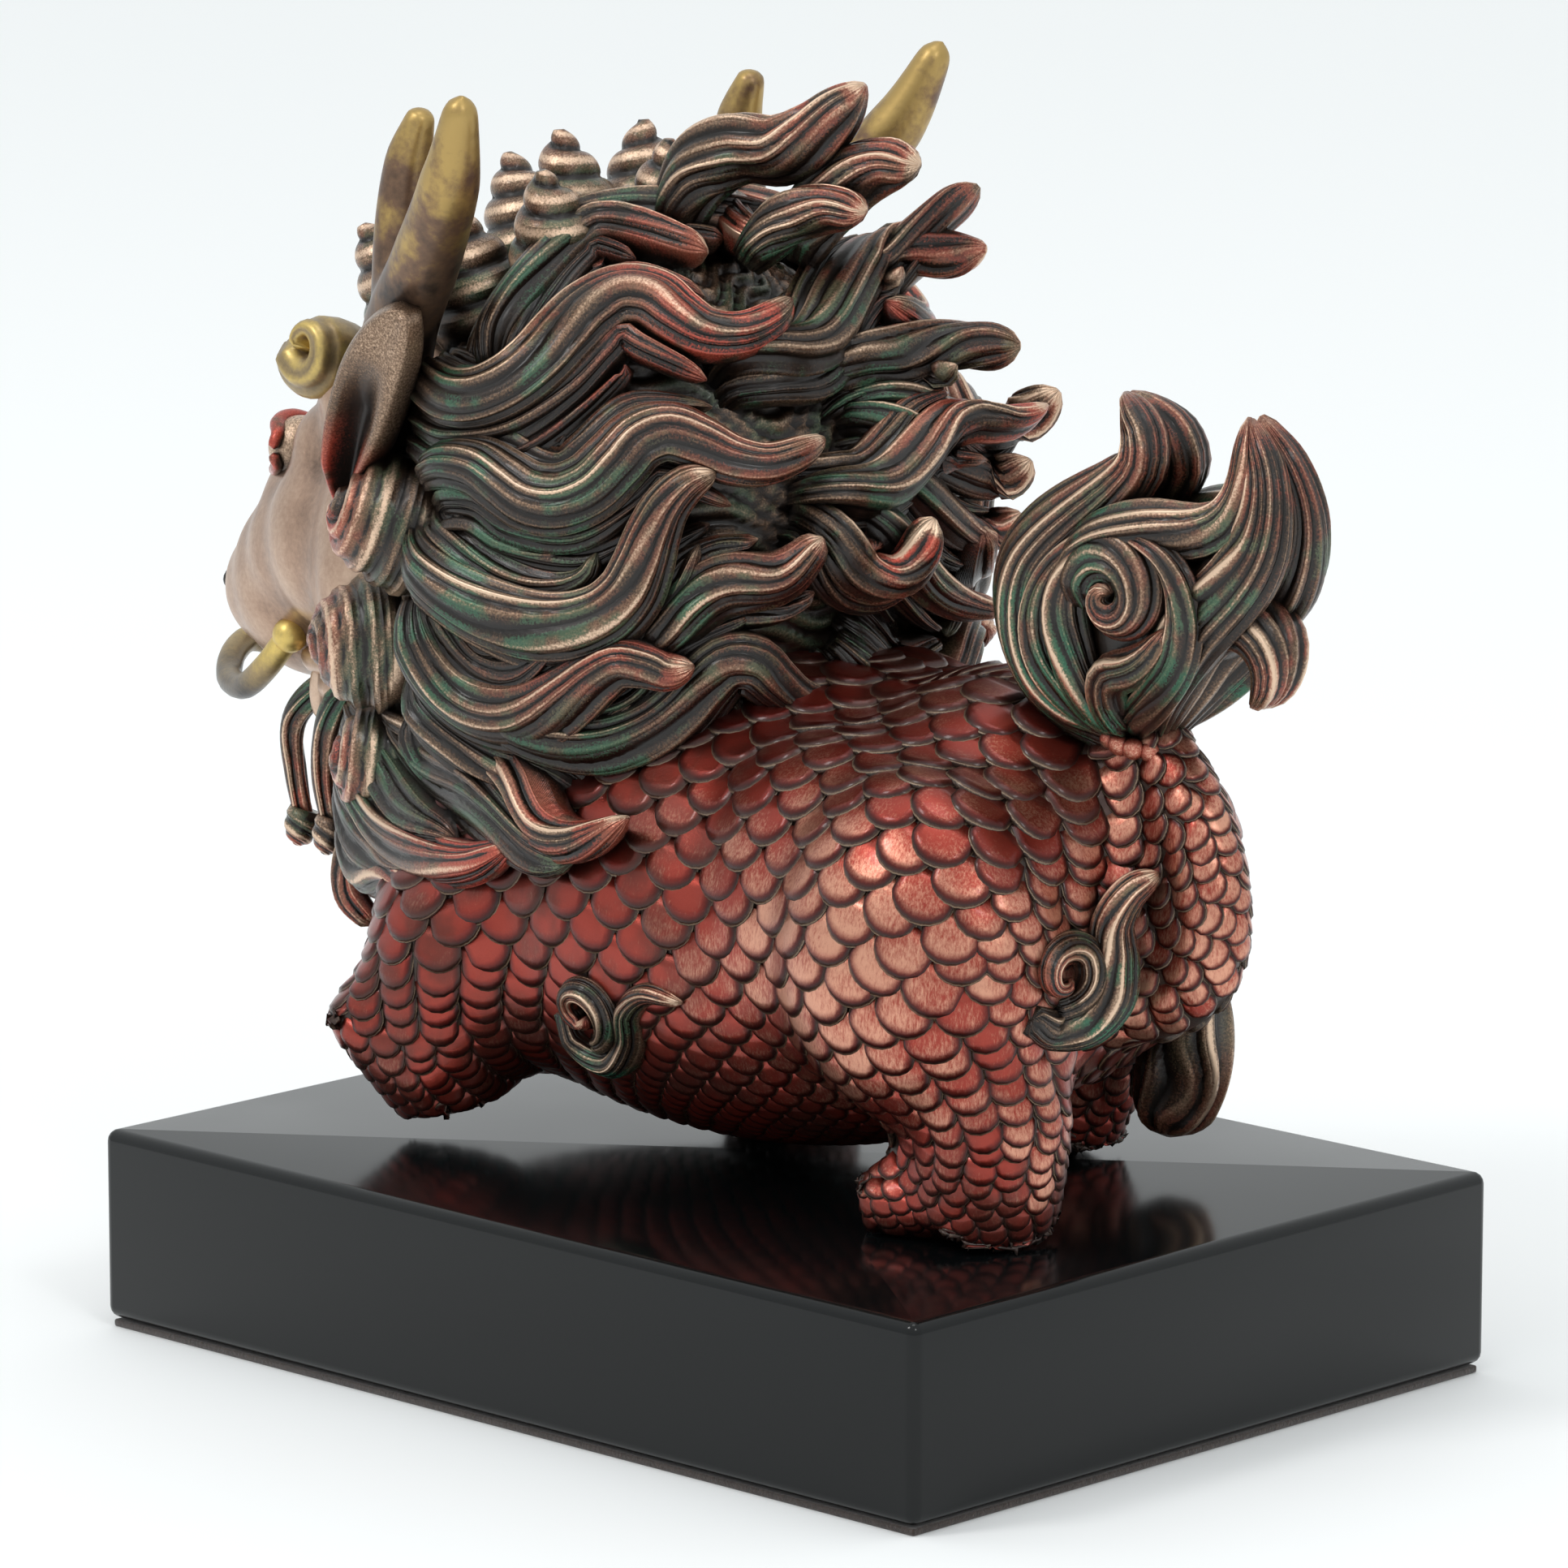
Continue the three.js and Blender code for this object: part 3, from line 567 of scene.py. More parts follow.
def chains_at(points, tris, rows, level):
    """Closed chains of points where the row count equals level, with the way on from row to row."""
    above = rows[tris] >= level
    joins = {}
    for tri, up in zip(tris[above.any(1) & ~above.all(1)].tolist(), above[above.any(1) & ~above.all(1)]):
        odd = int(np.argmax(up)) if up.sum() == 1 else int(np.argmin(up))
        ends = [(min(tri[odd], tri[odd - k]), max(tri[odd], tri[odd - k])) for k in (1, 2)]
        joins.setdefault(ends[0], []).append(ends[1])
        joins.setdefault(ends[1], []).append(ends[0])
    chains = []
    while joins:
        here = next(iter(joins))
        chain = []
        while here in joins:
            chain.append(here)
            here = next((e for e in joins.pop(here) if e in joins), None)
        edge = np.array(chain)
        low, high = rows[edge[:, 0]], rows[edge[:, 1]]
        share = ((level - low) / np.where(high == low, 1, high - low))[:, None]
        places = points[edge[:, 0]] * (1 - share) + points[edge[:, 1]] * share
        on = (points[edge[:, 1]] - points[edge[:, 0]]) * np.sign(high - low)[:, None]
        chains.append((places, on))
    return chains


# Where the points of a scale lie, across it and down it: a large scale has more of them. The rows that run
# round the trunk are lined up at FLANK_REFERENCE. A scale is about SCALE_SPREAD times as broad as its row is
# high. MOST_ROWS is more than there are, for skin that the count of rows doesn't reach
LARGE_SCALE = 3.0
SCALE_ACROSS = -np.cos(np.pi * np.arange(11) / 10)
SCALE_DOWN = np.array([0.0, 0.3, 0.52, 0.7, 0.84, 0.93, 1.0])
SMALL_SCALE_ACROSS = -np.cos(np.pi * np.arange(8) / 7)
SMALL_SCALE_DOWN = np.array([0.0, 0.4, 0.68, 0.88, 1.0])
FLANK_REFERENCE = 18.0
SCALE_SPREAD = 2.45
MOST_ROWS = 1000


def struck(tree, start, way):
    """Where a line from start, going the way given, first meets the skin."""
    return np.array(tree.ray_cast(Vector(start), Vector(way))[0])


def scale_plate(tree, centre, right, down, width, height, rng):
    """One scale: a pillowed shingle that lies on the skin, its lower edge rounded and lifted clear."""
    large = height > LARGE_SCALE
    u = (SCALE_ACROSS if large else SMALL_SCALE_ACROSS)[None]
    v = (SCALE_DOWN if large else SMALL_SCALE_DOWN)[:, None]
    width, reach = width * rng.uniform(0.93, 1.0), height * rng.uniform(0.9, 1.05)
    top = -0.7 * height
    low = 0.3 * height + 0.95 * reach * np.sqrt(np.maximum(1 - u * u, 0)) ** 1.15
    y = top + v * (low - top)
    x = u * width / 2 * 0.99 + 0 * v
    rim = np.minimum((1 - np.abs(u)) * width / 2 * 1.4, low - y)
    pillow = np.clip(rim / (0.3 * height), 0, 1)
    pillow = pillow * pillow * (3 - 2 * pillow)
    lift = -0.3 + (y - top) / (low.max() - top) * (0.24 * height + 0.35) + 0.19 * height * pillow
    crest = np.clip(rim / (0.62 * height), 0, 1)
    flat = centre + right * x[..., None] + down * y[..., None]
    rows, columns = x.shape
    points = np.zeros((rows, columns, 3))
    foot = np.zeros((rows, columns, 3))
    for i in range(rows):
        for j in range(columns):
            hit, normal, _, _ = tree.find_nearest(Vector(flat[i, j]))
            points[i, j] = np.array(hit) + np.array(normal) * lift[i, j]
            foot[i, j] = np.array(hit) - np.array(normal) * 0.55
    points[..., 2], foot[..., 2] = np.maximum(points[..., 2], 0.1), np.maximum(foot[..., 2], 0.1)
    index = np.arange(rows * columns).reshape(rows, columns)
    quads = np.stack([index[:-1, :-1], index[1:, :-1], index[1:, 1:], index[:-1, 1:]], -1).reshape(-1, 4)
    edge = np.concatenate([index[0, :-1], index[:-1, -1], index[-1, :0:-1], index[:0:-1, 0]])
    below = foot.reshape(-1, 3)[edge]
    under = rows * columns + np.arange(len(edge))
    after = np.roll(np.arange(len(edge)), -1)
    skirt = np.stack([edge, edge[after], under[after], under], -1)
    base = rows * columns + len(edge)
    fan = np.stack([under, under[after], np.full(len(edge), base)], -1)
    all_points = np.concatenate([points.reshape(-1, 3), below, below.mean(0)[None]])
    full = np.concatenate([crest.reshape(-1), np.zeros(len(edge) + 1)])
    haunch = math.exp(-((centre[1] - 40) / 23) ** 2 - ((centre[2] - 38) / 26) ** 2)
    fallen = np.concatenate([((y - top) / (low - top)).reshape(-1), np.ones(len(edge) + 1)])
    return shape(all_points, np.concatenate([quads, skirt]), fan, crest=full, red=rng.uniform(0, 1),
                 green=max(haunch, 0.8 * float(centre[1] > 62)), strand=fallen)


def under_mane(at):
    return np.linalg.norm((at - MANE_CENTRE) / (MANE_RADII - 6)) < 1


def scales_over(points, tris):
    """Shingles the skin in rows that run round the body and limbs, counted down from the spine, and lays
    a row of plates along the spine."""
    tree = BVHTree.FromPolygons(points.tolist(), tris.tolist())
    normals = normals_of(points, tris)
    spine = (np.abs(points[:, 0]) < 0.9) & (normals[:, 2] > 0.5) & (points[:, 2] > 50)
    spine &= (points[:, 1] > -52) & (points[:, 1] < 54)
    rows = rows_from_spine(points, tris, spine)
    tris = tris[(rows[tris] < MOST_ROWS).all(1)]
    rows = settled(np.minimum(rows, MOST_ROWS), tris, rounds=30)
    rng = np.random.default_rng(7)
    kept = {"flank_scales": [], "limb_scales": []}
    for level in range(1, int(rows[tris].max()) + 1):
        for places, on in chains_at(points, tris, rows, level - 0.4):
            if len(places) < 8:
                continue
            gaps = np.linalg.norm(np.roll(places, -1, 0) - places, axis=1)
            heights = row_height(places)
            travel = np.concatenate([[0], np.cumsum(gaps / (SCALE_SPREAD * heights))])
            count = max(3, round(travel[-1]))
            if np.ptp(places[:, 1]) > 60:
                anchor = np.argmin(np.abs(places[:, 1] - FLANK_REFERENCE) + 90 * (places[:, 0] < 0))
            else:
                anchor = np.argmax(np.abs(places[:, 0]))
            first = travel[anchor] / travel[-1] * count + 0.5 * (level % 2)
            closed = np.concatenate([places, places[:1]])
            spots = ((np.arange(count) + first) % count) / count * travel[-1]
            for spot in spots:
                at = np.array([np.interp(spot, travel, closed[:, k]) for k in range(3)])
                if at[2] < 1.0 or under_mane(at):
                    continue
                near = int(np.searchsorted(travel, spot)) % len(places)
                onward = on[(near + np.arange(-5, 6)) % len(places)].sum(0)
                height = float(row_height(at[None])[0])
                _, normal, _, _ = tree.find_nearest(Vector(at))
                normal = np.array(normal)
                reach = max(2, int(0.35 * height / max(gaps.mean(), 0.1)))
                right = places[(near + reach) % len(places)] - places[(near - reach) % len(places)]
                right = unit_rows(right - normal * (right @ normal))
                down = np.cross(normal, right)
                if down @ onward < 0:
                    right, down = -right, -down
                width = travel[-1] / count * SCALE_SPREAD * height
                name = "flank_scales" if height > LARGE_SCALE else "limb_scales"
                kept[name].append(scale_plate(tree, at, right, down, width, height, rng))
    for y in np.arange(12, 58, 3.5):
        at = struck(tree, (0, y, 120), (0, 0, -1))
        if not under_mane(at):
            plate = scale_plate(tree, at, np.array([1.0, 0, 0]), np.array([0, 1.0, 0]), 8.4, 3.4, rng)
            kept["flank_scales"].append(plate)
    return {name: joined(group) for name, group in kept.items()}


def filleted(masses, limbs, fillet, voxel, rounds):
    """Masses and limbs as one skin. They are grown, fused and drawn back, which fills their creases."""
    shapes = [mass(row[0], np.add(row[1], fillet), *row[2:]) for row in masses]
    shapes += [round_limb(path, np.add(girths, fillet), **ways) for path, girths, ways in limbs]
    points, tris = fused(shapes, voxel, rounds)
    return points - fillet * normals_of(points, tris), tris


def body_skin():
    """Trunk, legs and tail as one skin, drawn in a little to let the scales stand on it."""
    limbs = [(path, girths, {"steps": 24}) for path, girths in LEGS]
    limbs.append((TAIL, [6, 5.6, 5.3, 5.3, 5.0, 4.6, 4.2], {"look": (1, 0, 0), "steps": 60}))
    points, tris = filleted(BODY_MASSES, limbs, fillet=3.0, voxel=1.6, rounds=11)
    return points - 0.25 * normals_of(points, tris), tris


# Finishes


def colour(code):
    """An sRGB hex value, as linear red, green, blue and alpha."""
    parts = [int(code[i:i + 2], 16) / 255 for i in (1, 3, 5)]
    return [p / 12.92 if p <= 0.04045 else ((p + 0.055) / 1.055) ** 2.4 for p in parts] + [1.0]


def feed(tree, node, links):
    """Links what feeds a node's inputs: an output, or a node for its first output."""
    for key, source in dict(links).items():
        if isinstance(source, bpy.types.Node):
            source = source.outputs[0]
        tree.links.new(source, node.inputs[key])


def add(tree, kind, settings=(), links=()):
    """Adds a node with its settings and what feeds its inputs. A hex value is a colour, and stops are the
    places and colours of a ramp."""
    node = tree.nodes.new("ShaderNode" + kind)
    settings = dict(settings)
    stops = settings.pop("stops", ())
    if stops:
        bar = node.color_ramp.elements
        while len(bar) < len(stops):
            bar.new(0.5)
        for element, (position, code) in zip(bar, stops):
            element.position = position
            element.color = colour(code)
    for key, value in settings.items():
        if isinstance(key, str) and hasattr(node, key):
            setattr(node, key, value)
        else:
            node.inputs[key].default_value = colour(value) if isinstance(value, str) else value
    feed(tree, node, links)
    return node


def blank(name, **shader):
    """A new material, its tree and its shader, with the shader's own values set."""
    made = bpy.data.materials.new(name)
    made.use_nodes = True
    tree = made.node_tree
    tree.nodes.clear()
    surface = add(tree, "BsdfPrincipled", {key.replace("_", " "): value for key, value in shader.items()})
    add(tree, "OutputMaterial", links={"Surface": surface})
    return made, tree, surface


def mottle(tree, size, detail, rough, length=1.0):
    """Noise whose patches are about size millimetres across, and length times that from top to bottom."""
    where = add(tree, "TexCoord").outputs["Object"]
    drawn = add(tree, "Mapping", {"Scale": (1, 1, 1 / length)}, {"Vector": where})
    return add(tree, "TexNoise", {"Scale": 1 / (size * MM), "Detail": detail, "Roughness": rough},
               {"Vector": drawn})


def summed(tree, start, *shares):
    """Start plus each value times its share."""
    whole = None
    for value, share in shares:
        settings = {"operation": "MULTIPLY_ADD", 1: share}
        links = {0: value}
        if whole is None:
            settings[2] = start
        else:
            links[2] = whole
        whole = add(tree, "Math", settings, links)
    return whole


def smooth(low, high, least=0.0, most=1.0):
    """Settings of a range that goes smoothly from least to most while its value goes from low to high."""
    return {"interpolation_type": "SMOOTHSTEP", "From Min": low, "From Max": high, "To Min": least,
            "To Max": most}


def wash(tree, base, code, strength, *limits):
    """Lays a thin colour over the base. Each limit holds it back: a value, or one with its low and high."""
    share = None
    for limit in limits:
        if isinstance(limit, tuple):
            limit = add(tree, "MapRange", smooth(*limit[1:]), {"Value": limit[0]})
        if share is None:
            share = add(tree, "Math", {"operation": "MULTIPLY", 1: strength}, {0: limit})
        else:
            share = add(tree, "Math", {"operation": "MULTIPLY"}, {0: share, 1: limit})
    return add(tree, "Mix", {"data_type": "RGBA", 7: code}, {0: share, 6: base}).outputs[2]


def finished(tree, surface, base, height, metal, rough, relief, depth, strength):
    """Gives the shader its colour, its metal and roughness by height, and relief some millimetres deep."""
    feed(tree, surface, {
        "Base Color": base,
        "Metallic": add(tree, "MapRange", smooth(*metal), {"Value": height}),
        "Roughness": add(tree, "MapRange", smooth(*rough), {"Value": height}),
        "Normal": add(tree, "Bump", {"Strength": strength, "Distance": depth * MM}, {"Height": relief}),
    })


def carved_bronze():
    """Cold-cast bronze, bronze powder in resin, cast from a carved model, stained nearly black, washed with
    thin green and red and then rubbed back: recesses stay dark and glossy, ridges show warm metal. Painted
    shade from ambient occlusion darkens the recesses further. The powder, finer than 0.1 mm, wouldn't
    show, so here and on the scales its grain is drawn at 0.3 mm."""
    made, tree, surface = blank("washed_cold_cast_bronze", Coat_Weight=0.22, Coat_Roughness=0.15)
    crest, red, green, strand = [add(tree, "Attribute", {"attribute_name": key}).outputs["Fac"]
                                 for key in FINISH]
    grain = mottle(tree, 0.3, 5, 0.75)
    patches = mottle(tree, 7, 3, 0.55)
    # Three fine lines on each ridge of the hair
    wave = add(tree, "Math", {"operation": "MULTIPLY", 1: 9.42}, {0: strand})
    wave = add(tree, "Math", {"operation": "SINE"}, {0: wave})
    lines = add(tree, "Math", {"operation": "ABSOLUTE"}, {0: wave})
    carved = summed(tree, -0.83, (crest, 1.15), (grain, 1.25), (lines, 0.16))
    # Painted shade: ambient occlusion darkens the carving where locks crowd and overhang, on top of the
    # stain left in the recesses
    open_air = add(tree, "AmbientOcclusion", {"samples": 6, "Distance": 6 * MM}).outputs["AO"]
    unshaded_and_rubbed = add(tree, "MapRange", smooth(0.2, 0.85, 0.12, 1.08), {"Value": open_air})
    height = add(tree, "Math", {"operation": "MULTIPLY"}, {0: carved, 1: unshaded_and_rubbed})
    base = add(tree, "ValToRGB", {"stops": [(0, "#120c09"), (0.27, "#32251c"), (0.64, "#7c634f"),
                                            (1, "#e3c4a8")]}, {"Fac": height})
    base = wash(tree, base, "#216a50", 1.0, green, (patches, 0.47, 0.6), (height, 0.12, 0.34),
                (height, 0.85, 0.6))
    base = wash(tree, base, "#cf4838", 0.9, red, (patches, 0.36, 0.5), (height, 0.1, 0.4))
    base = wash(tree, base, "#e3c4a8", 0.9, (height, 0.76, 1.04))
    finished(tree, surface, base, height, (0.1, 0.9, 0.3, 0.85), (0.1, 0.9, 0.22, 0.32),
             add(tree, "Math", {"operation": "MULTIPLY_ADD", 1: 2.0}, {0: lines, 2: grain}), 0.09, 0.6)
    return made


def scale_bronze():
    """The same resin bronze under a red metallic wash: each scale is rubbed to salmon on its crown, and
    grey-brown bronze shows at its rim."""
    made, tree, surface = blank("red_washed_bronze_scale", Coat_Weight=0.35, Coat_Roughness=0.16)
    crest, tone, haunch, fallen = [add(tree, "Attribute", {"attribute_name": key}).outputs["Fac"]
                                   for key in FINISH]
    grain = mottle(tree, 0.3, 5, 0.75)
    patches = mottle(tree, 8, 3, 0.5)
    brushed = mottle(tree, 0.33, 4, 0.75, length=3.2)
    height = summed(tree, -0.12, (crest, 1.0), (grain, 0.24))
    base = add(tree, "ValToRGB", {"stops": [(0, "#2d2018"), (0.06, "#8d7861"), (0.14, "#4e382c"),
                                            (0.24, "#2c120e"), (0.4, "#4c140f"), (0.7, "#7a261d"),
                                            (1, "#9c3a2d")]}, {"Fac": height})
    worn = summed(tree, -1.16, (patches, 1.0), (tone, 0.2), (haunch, 0.56), (fallen, 0.34), (brushed, 1.3))
    base = wash(tree, base, "#e0a68a", 0.85, (height, 0.4, 1.0), (worn, 0.38, 1.0))
    base = wash(tree, base, "#4a2c24", 0.6, (patches, 0.38, 0.62), (haunch, 0.5, 0.1))
    # Painted shade: ambient occlusion darkens the skin under and between the scales, along with the stain
    # left there
    open_air = add(tree, "AmbientOcclusion", {"samples": 6, "Distance": 5 * MM}).outputs["AO"]
    base = wash(tree, base, "#1a0b08", 0.7, (open_air, 0.7, 0.2))
    rim = add(tree, "ValToRGB", {"stops": [(0, "#000000"), (0.08, "#ffffff"), (0.2, "#404040"),
                                           (0.5, "#c0c0c0"), (1, "#ffffff")]}, {"Fac": crest})
    finished(tree, surface, base, height, (0.0, 0.5, 0.45, 0.85), (0.1, 0.9, 0.4, 0.28),
             add(tree, "Math", {"operation": "MULTIPLY_ADD", 1: 0.4}, {0: grain, 2: rim}), 0.14, 0.6)
    return made


def rubbed_bronze(name, dark, middle, pale, patchy=0.5):
    """Smooth cold-cast bronze, its stain wiped off by hand: brown where it is low and bare warm metal where
    it stands proud, with fine brush marks."""
    made, tree, surface = blank(name, Coat_Weight=0.2, Coat_Roughness=0.2)
    crest = add(tree, "Attribute", {"attribute_name": "crest"}).outputs["Fac"]
    grain = mottle(tree, 0.8, 4, 0.7)
    height = summed(tree, -0.2 - 0.5 * patchy, (crest, 1.0), (grain, 0.4), (mottle(tree, 7, 3, 0.6), patchy))
    base = add(tree, "ValToRGB", {"stops": [(0, "#120d0a"), (0.25, dark), (0.6, middle), (0.95, pale)]},
               {"Fac": height})
    finished(tree, surface, base, height, (0.1, 0.8, 0.4, 0.9), (0.1, 0.9, 0.34, 0.42), grain, 0.06, 0.35)
    return made


def lacquer():
    """Black lacquer, sprayed on the block and left satin: nearly black, with soft wide reflections. It has
    the faint dimples, about a millimetre across, that spraying leaves."""
    made, tree, surface = blank("black_satin_lacquer", Base_Color="#080b0c", Metallic=0.0, IOR=1.45,
                                Specular_IOR_Level=0.38)
    cloud = mottle(tree, 30, 2, 0.5)
    peel = mottle(tree, 1.2, 2, 0.5)
    feed(tree, surface, {
        "Roughness": add(tree, "MapRange", smooth(0.3, 0.7, 0.13, 0.18), {"Value": cloud}),
        "Normal": add(tree, "Bump", {"Strength": 0.5, "Distance": 0.004 * MM}, {"Height": peel}),
    })
    return made


def wool_felt():
    """Pressed wool felt, glued on: dark brown, quite matt and fuzzy. Its fibres, about 0.02 mm thick,
    wouldn't show, so they are drawn as tufts of 0.5 mm."""
    made, tree, surface = blank("brown_wool_felt", Roughness=0.95, Sheen_Weight=0.4)
    fibres = mottle(tree, 0.5, 5, 0.75)
    stops = [(0.3, "#17100d"), (0.7, "#43342d")]
    feed(tree, surface, {
        "Base Color": add(tree, "ValToRGB", {"stops": stops}, {"Fac": fibres}),
        "Normal": add(tree, "Bump", {"Strength": 0.8, "Distance": 0.3 * MM}, {"Height": fibres}),
    })
    return made


def shown(name, made, finish, stands_for):
    """A finished piece of the ornament, riding on the one body."""
    placed = dict(made)
    placed["points"] = made["points"] * UNIT + np.array([0, 0, SOLES])
    obj = plain_object(name, placed)
    for key in FINISH:
        carried = obj.data.attributes.new(key, "FLOAT", "POINT")
        carried.data.foreach_set("value", made[key].astype(np.float32))
    obj.data.shade_smooth()
    obj.data.materials.append(finish)
    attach(obj, "root")
    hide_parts(stands_for)


# Head, horns and curls


def proud(points, tris, rounds, reach):
    """How far each point stands out of the skin around it, as a crest from 0 to 1."""
    normals = normals_of(points, tris)
    calm = np.stack([settled(points[:, k], tris, rounds) for k in range(3)], 1)
    return np.clip(0.5 + ((points - calm) * normals).sum(1) / reach, 0, 1)


def curl(centre, normal, radius, width, thick, turns, hand=1, start=0.0, **finish):
    """A lock wound into a flat spiral. It ends in the middle of the spiral, which stands out a little."""
    normal = unit_rows(np.asarray(normal, float))
    level = unit_rows(np.cross(normal, (0, 0, 1.0)))
    upright = np.cross(level, normal)
    s = np.linspace(0, 1, 30)[:, None]
    angle = start + hand * 2 * np.pi * turns * s
    reach = (radius - width / 2) * (1 - 0.9 * s ** 0.8)
    path = np.asarray(centre, float) + normal * 1.5 * s
    path = path + reach * (level * np.cos(angle) + upright * np.sin(angle))
    return hair(path, normal, width, thick, root=0.95, fine=0.6, **finish)


def leaf(points, look, width, depth):
    """A hollow leaf-shaped ear with a thick rim. The red wash lies in its hollow."""
    turn = np.linspace(0, 2 * np.pi, 32, endpoint=False)[None]
    c, outside = np.cos(turn), np.sin(turn) >= 0

    def section(t):
        half = width / 2 * 2.0 * (0.12 + t) ** 0.9 * (1.02 - t) ** 0.55
        deep = depth * (1 - 0.5 * t) * np.clip(0.2 + 4 * t, 0, 1)
        hollowed = np.clip((0.8 - t) / 0.35, 0.15, 1)
        front = 0.8 * (1 - c ** 8) - hollowed * np.exp(-((c - 0.1) / 0.5) ** 2)
        back = -0.5 * np.sqrt(np.clip(1 - c * c, 0, 1))
        return half * c, deep * np.where(outside, front, back)

    t = np.linspace(0, 1, 40)[:, None]
    hollow = np.where(outside, np.exp(-((c - 0.1) / 0.5) ** 2), 0) * np.clip((0.8 - t) / 0.35, 0, 1)
    return sweep(points, look, 40, section, crest=0.72 - 0.5 * hollow,
                 red=np.clip((hollow + 0.6) * np.clip(1.4 - 3.2 * t, 0, 1), 0, 1))


HEAD_MASSES = [
    ((0, -58, 74), (28, 17, 27)),
    ((0, -64, 93), (22, 11, 11)),
    ((0, -68, 55.5), (19, 12, 7)),
    ((0, -65, 43.5), (16, 13, 8.5)),
    ((0, -91, 66), (14.5, 11, 11)),
]
BRIDGE = [[0, -62, 95], [0, -74, 87], [0, -84, 77], [0, -88, 67]]
FACE_SIDE_MASSES = [
    ((11.5, -72, 88), (8.5, 7, 7.5)),
    ((15, -66, 98), (6.5, 5.5, 6)),
    ((8, -88.5, 64), (5.4, 5.5, 5)),
    ((20, -57, 73), (9, 9, 12)),
    ((12, -70, 76), (12, 13, 14)),
    ((8, -79, 73), (12, 12, 12)),
    ((5, -84, 68), (12.5, 13.5, 14)),
]


def head_skin():
    masses = HEAD_MASSES + FACE_SIDE_MASSES
    masses += [((-x, y, z), radii) for (x, y, z), radii in FACE_SIDE_MASSES]
    bridge = (BRIDGE, [13.5, 15, 16, 14], {"look": (0, -1, 0.9), "flat": 0.68})
    points, tris = filleted(masses, [bridge], fillet=3.5, voxel=0.9, rounds=12)
    crest = 0.25 + 0.7 * proud(points, tris, rounds=40, reach=3.0)
    return shape(points, [], tris, crest=crest, green=0.25)


def eye(tree):
    """An eye that stands out of the face, with a dark pupil and red-washed lids round it. The lids lie on
    the skin, or on the ball where it stands further out."""
    centre = struck(tree, (11.5, -140, 87), (0, 1, 0)) + (0, 1.6, 0)
    parts = [mass(centre, (4.4, 4.4, 4.4), crest=0.85),
             mass(centre + (-0.3, -3.4, -0.3), (1.8, 1.5, 2.0), sides=20, rows=12, crest=-0.5)]
    for lift, girth in ((3.7, 1.15), (-3.5, 0.9)):
        rim = []
        for a in np.linspace(-1.5, 1.5, 13):
            at = centre + (5.0 * math.sin(a), 0, lift * math.cos(a))
            on_skin = struck(tree, (at[0], -140, at[2]), (0, 1, 0))[1]
            aside = (at[0] - centre[0]) ** 2 + (at[2] - centre[2]) ** 2
            on_ball = centre[1] - math.sqrt(max(19.4 - aside, 0))
            rim.append([at[0], min(on_skin + 0.5, on_ball), at[2]])
        parts.append(round_limb(rim, [0.8, girth, girth * 1.2, girth, 0.8], look=(0, -1, 0.1), sides=12,
                                crest=0.55, red=0.7))
    return joined(parts)


def face_side(tree):
    """Eye, curls and beard of one side of the face."""
    parts = [
        eye(tree),
        bun((31.5, -38, 83.5), (0.75, -0.6, 0.15), 9.8, 12, 1.75, plies=3, groove=1.9, red=0.6),
        bun((26.5, -48, 66), (0.75, -0.65, 0.1), 10.2, 11.5, 1.75, hand=-1, plies=3, groove=1.9, red=0.5),
        bun((21.5, -50, 49), (0.75, -0.7, -0.05), 9.8, 11, 1.75, plies=3, groove=1.9, red=0.6),
        bun((13, -60, 38), (0.6, -0.8, -0.4), 6.5, 7.5, 1.7, hand=-1, plies=3, groove=1.3, red=0.4),
    ]
    for path, width in (
        ([[6, -62, 42], [9, -72, 36], [12, -72, 28]], 8),
        ([[2, -66, 42], [3, -75, 37], [5, -76, 30]], 6),
        ([[14, -60, 42], [19, -64, 36], [22, -62, 29], [21, -58, 25]], 7),
    ):
        parts.append(hair(path, (1, -0.7, 0.1), width, 4.6, 1.5, 4, width / 10, red=0.5))
    return joined(parts)


BARBELS = [
    [(12, -74, 57), (13, -82, 49), (13, -82, 42), (12, -81, 34)],
    [(18, -66, 57), (18, -70, 50), (18, -71, 43), (17, -70, 35)],
]
HORN = [
    ([(25, -51, 91), (33, -39, 110), (37, -30, 120), (42, -20, 132), (45, -14.5, 143.5)],
     [5.8, 5.2, 4.9, 4.6, 4.0, 2.0]),
    ([(32, -39, 113), (31.5, -40, 122), (31, -39.5, 131), (31, -36.5, 139)], [4.7, 4.1, 3.6, 3.1, 1.7]),
]
EAR = [[33.5, -49, 85], [35, -46, 92], [38, -38, 104], [40, -30, 114]]
RING = [[15.5, -80, 61.6], [15.5, -85, 56.5], [13.5, -91.5, 52.8], [9.5, -99, 52.6], [4.5, -103.5, 54.8],
        [0, -105, 56]]


def horns():
    """Both forked horns, the stain rubbed off more and more towards their tips."""
    points, tris = fused([round_limb(path, girths, steps=50) for path, girths in HORN], voxel=0.6, rounds=6)
    return both_sides(shape(points, [], tris, crest=np.clip((points[:, 2] - 92) / 52, 0, 1)))


def whiskers():
    """Barbels that hang from the lip on both sides, each with a wound bead at its end."""
    made = []
    for path in BARBELS:
        made.append(hair(path, (1, -0.5, 0), 4.6, 4.6, 0, 3, 0.3, red=0.5, tip=0.2, root=0.7, blunt=0.9,
                         both=True))
        made.append(bun(np.add(path[-1], (0, 0, 1.5)), (0.3, -0.2, -1), 2.9, 4.2, 1.5, plies=2, groove=0.5,
                        red=0.8))
    return both_sides(*made)


def nose_ring():
    """A ring through the nose from cheek to cheek, with a ball at each end."""
    path = RING + [[-x, y, z] for x, y, z in RING[-2::-1]]
    cord = round_limb(path, [1.85, 1.85], look=(0, 0.3, 1), sides=16, steps=110)
    cord["crest"] = np.clip((cord["points"][:, 2] - 51) / 9, 0.1, 0.95)
    return joined([cord, both_sides(bead(RING[0], 2.5, crest=0.95))])


